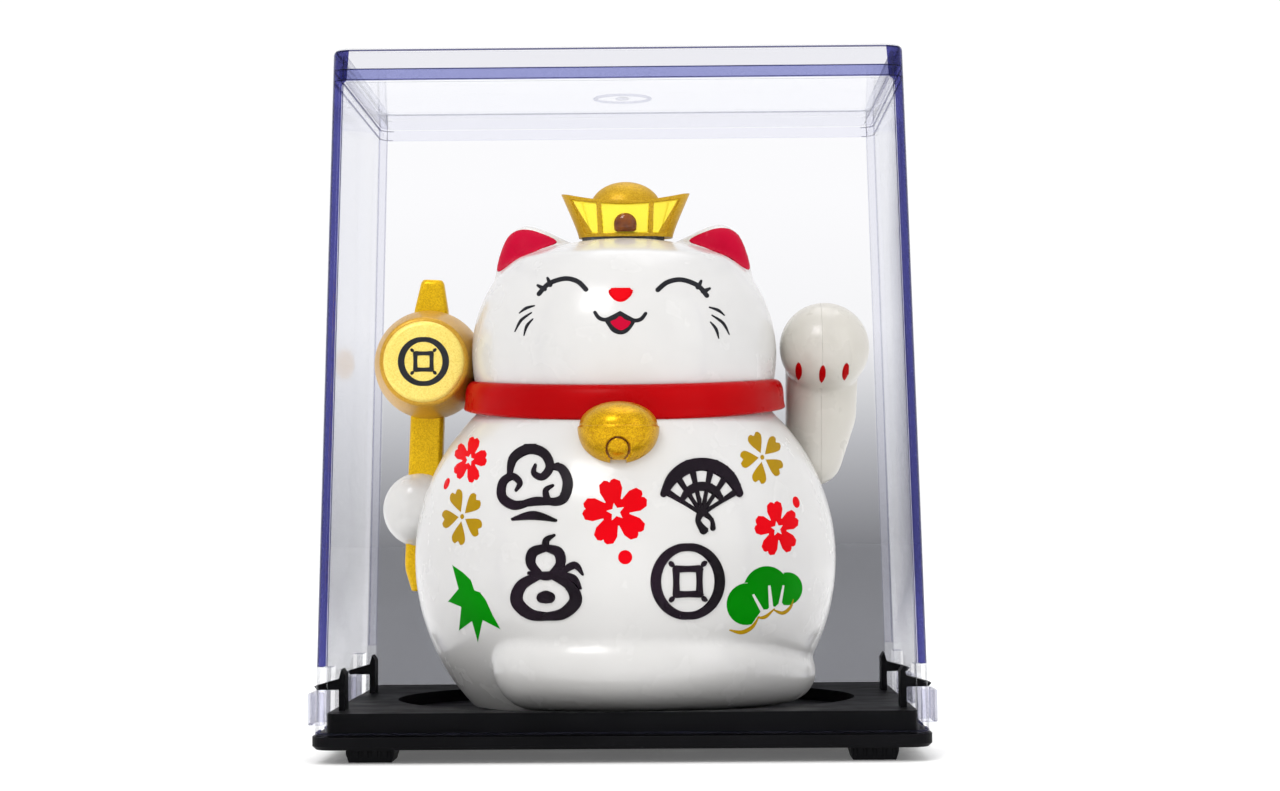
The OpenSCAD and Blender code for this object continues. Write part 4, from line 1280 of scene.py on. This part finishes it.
def edge_lines():
    """Fine dark lines where the rounded edges bend the light away."""
    rim = line_ring(PANEL_TOP + 0.15, CASE_H - 0.8, 0.5, HOOD_WALL - 0.5)
    piece(make_object("hood_rim_tint", rim, 30), "hood", "hood_clear", RIM_GREY)
    dark = [
        line_ring(CASE_H - 0.62, CASE_H - 0.32, 0.36, 0.75),
        line_ring(PANEL_TOP - 0.25, PANEL_TOP - GAP, GAP / 2, 0.35),
        line_ring(PANEL_LOW + GAP, PANEL_LOW + 0.2, GAP / 2, 0.35),
    ]
    for part in dark[1:]:
        cut_across(part, CASE_D / 2 - CASE_R, 1)
    soft = []
    for sx in (-1, 1):
        for sy, group in ((-1, dark), (1, soft)):
            for x_out, x_in in ((GAP / 2, 0.3), (1.78, 1.94)):
                rings = []
                for z in (EDGE_Z0, 60.0, 100.0, CASE_H - 0.9):
                    half_w = CASE_W / 2 - wall_lean(z)
                    y = CASE_D / 2 - wall_lean(z) - CASE_R
                    corners = ((x_out, y), (x_out, y - 0.5), (x_in, y - 0.5), (x_in, y))
                    rings.append([Vector((sx * (half_w - x), sy * yy, z)) for x, yy in corners])
                group.append(rings_to_bmesh(rings))
    piece(make_object("hood_edge_lines", join(dark), 30), "hood", "hood_clear", EDGE_LINE)
    piece(make_object("hood_edge_soft", join(soft), 30), "hood", "hood_clear", EDGE_SOFT)
    foot = make_object("hood_foot_line", line_ring(HOOD_Z + 0.35, HOOD_Z + 0.75, GAP, 0.4), 30)
    cut_slots(foot, 3.8, 20)
    piece(foot, "hood", "hood_clear", EDGE_LINE)


def gate_mark():
    """The moulding gate's ring and pip on the top panel."""
    ring = lathe([(5.3, 0.05), (6.0, 0.05), (6.1, 0.3), (5.8, 0.5), (5.4, 0.4)], 72, closed=True)
    pip = lathe([(0, 0.1), (1.3, 0.1), (1.6, 0.3), (1.2, 0.5), (0, 0.55)], 32)
    for bm, name, material in ((ring, "hood_gate_ring", EDGE_SOFT), (pip, "hood_gate_pip", FROST)):
        bmesh.ops.translate(bm, vec=(0, 0, PANEL_TOP), verts=bm.verts)
        piece(make_object(name, bm, 40), "hood", "hood_clear", material)


def hood_bridges():
    """Clear loops below the slots: an outer plate on two cheeks."""
    low_z, high_z = 6.8, 13.1
    walls = (59.7, -5.6, 60.5, 5.6), (57.4, -5.6, 60.0, -4.2), (57.4, 4.2, 60.0, 5.6)
    parts = []
    for y in TONGUE_YS:
        for side in (-1, 1):
            for x0, y0, x1, y1 in walls:
                near, far = sorted((side * x0, side * x1))
                parts.append(block((near, y + y0, low_z), (far, y + y1, high_z)))
    obj = make_object("hood_bridges", join(parts), 30)
    bevel(obj, 0.3, 2, 40)
    piece(obj, "hood", "hood_clear", FROST)


# ---------------------------------------------------------------- build

shell = shells()
shell_skin = cast_skin(shell)
boolean(shell, cell_pocket(), sharp=40)
split_shells(shell)
face(shell_skin)
flowers(shell_skin)
leaves(shell_skin)
emblems(shell_skin)
arm()
collar()
bell()
hat()
mallet()
handle()
left_paw()
hood()
corner_columns()
panel_bands()
edge_lines()
gate_mark()
hood_bridges()


# ---------------------------------------------------------------- stage, lights, camera

def stage():
    floor = make_object("stage_floor", block((-4000, -4000, -6), (4000, 4000, 0)))
    mat = plastic("floor_pale", (0.92, 0.92, 0.92), (0.94, 0.94, 0.94), (0.55, 0.65), 0.0, patch=2,
                  specular=0.2)
    glow = mat.node_tree.nodes["Principled BSDF"]
    glow.inputs["Emission Color"].default_value = (1, 1, 1, 1)
    glow.inputs["Emission Strength"].default_value = 0.11
    floor.data.materials.append(mat)


def area_light(name, place, target, size, power, colour=(1, 1, 1)):
    data = bpy.data.lights.new(name, "AREA")
    data.shape = "RECTANGLE"
    data.size, data.size_y = size
    data.energy = power
    data.color = colour
    lamp = bpy.data.objects.new(name, data)
    bpy.context.scene.collection.objects.link(lamp)
    lamp.location = place
    lamp.rotation_euler = (Vector(target) - Vector(place)).to_track_quat("-Z", "Y").to_euler()


def lights():
    world = bpy.data.worlds.new("studio")
    bpy.context.scene.world = world
    world.use_nodes = True
    background = world.node_tree.nodes["Background"]
    background.inputs["Color"].default_value = (1.0, 1.0, 1.0, 1)
    background.inputs["Strength"].default_value = 1.02
    area_light("key", (-0.35, -0.8, 0.9), (0, 0, 0.06), (0.45, 0.45), 4.6, (1.0, 0.99, 0.97))
    area_light("fill", (0.8, -0.6, 0.5), (0, 0, 0.07), (0.5, 0.7), 1.0)
    area_light("top", (0.1, 0.25, 1.1), (0, 0, 0.06), (0.7, 0.7), 2.5)


def camera():
    """Stands in front at belly height, a little to the right, and looks slightly up."""
    data = bpy.data.cameras.new("camera")
    cam = bpy.data.objects.new("camera", data)
    bpy.context.scene.collection.objects.link(cam)
    bpy.context.scene.camera = cam
    data.sensor_width = 36
    data.lens = 83.5
    data.clip_start = 0.01
    place = Matrix.Translation((0.0123, -0.6135, 0.0469))
    forward = Vector((-0.0148, 1.0, 0.0402)).normalized()
    look = forward.to_track_quat("-Z", "Y").to_matrix().to_4x4()
    roll = Matrix.Rotation(math.radians(-0.4), 4, "Z")
    cam.matrix_world = place @ look @ roll


stage()
lights()
camera()
bpy.context.scene.view_settings.view_transform = "Standard"
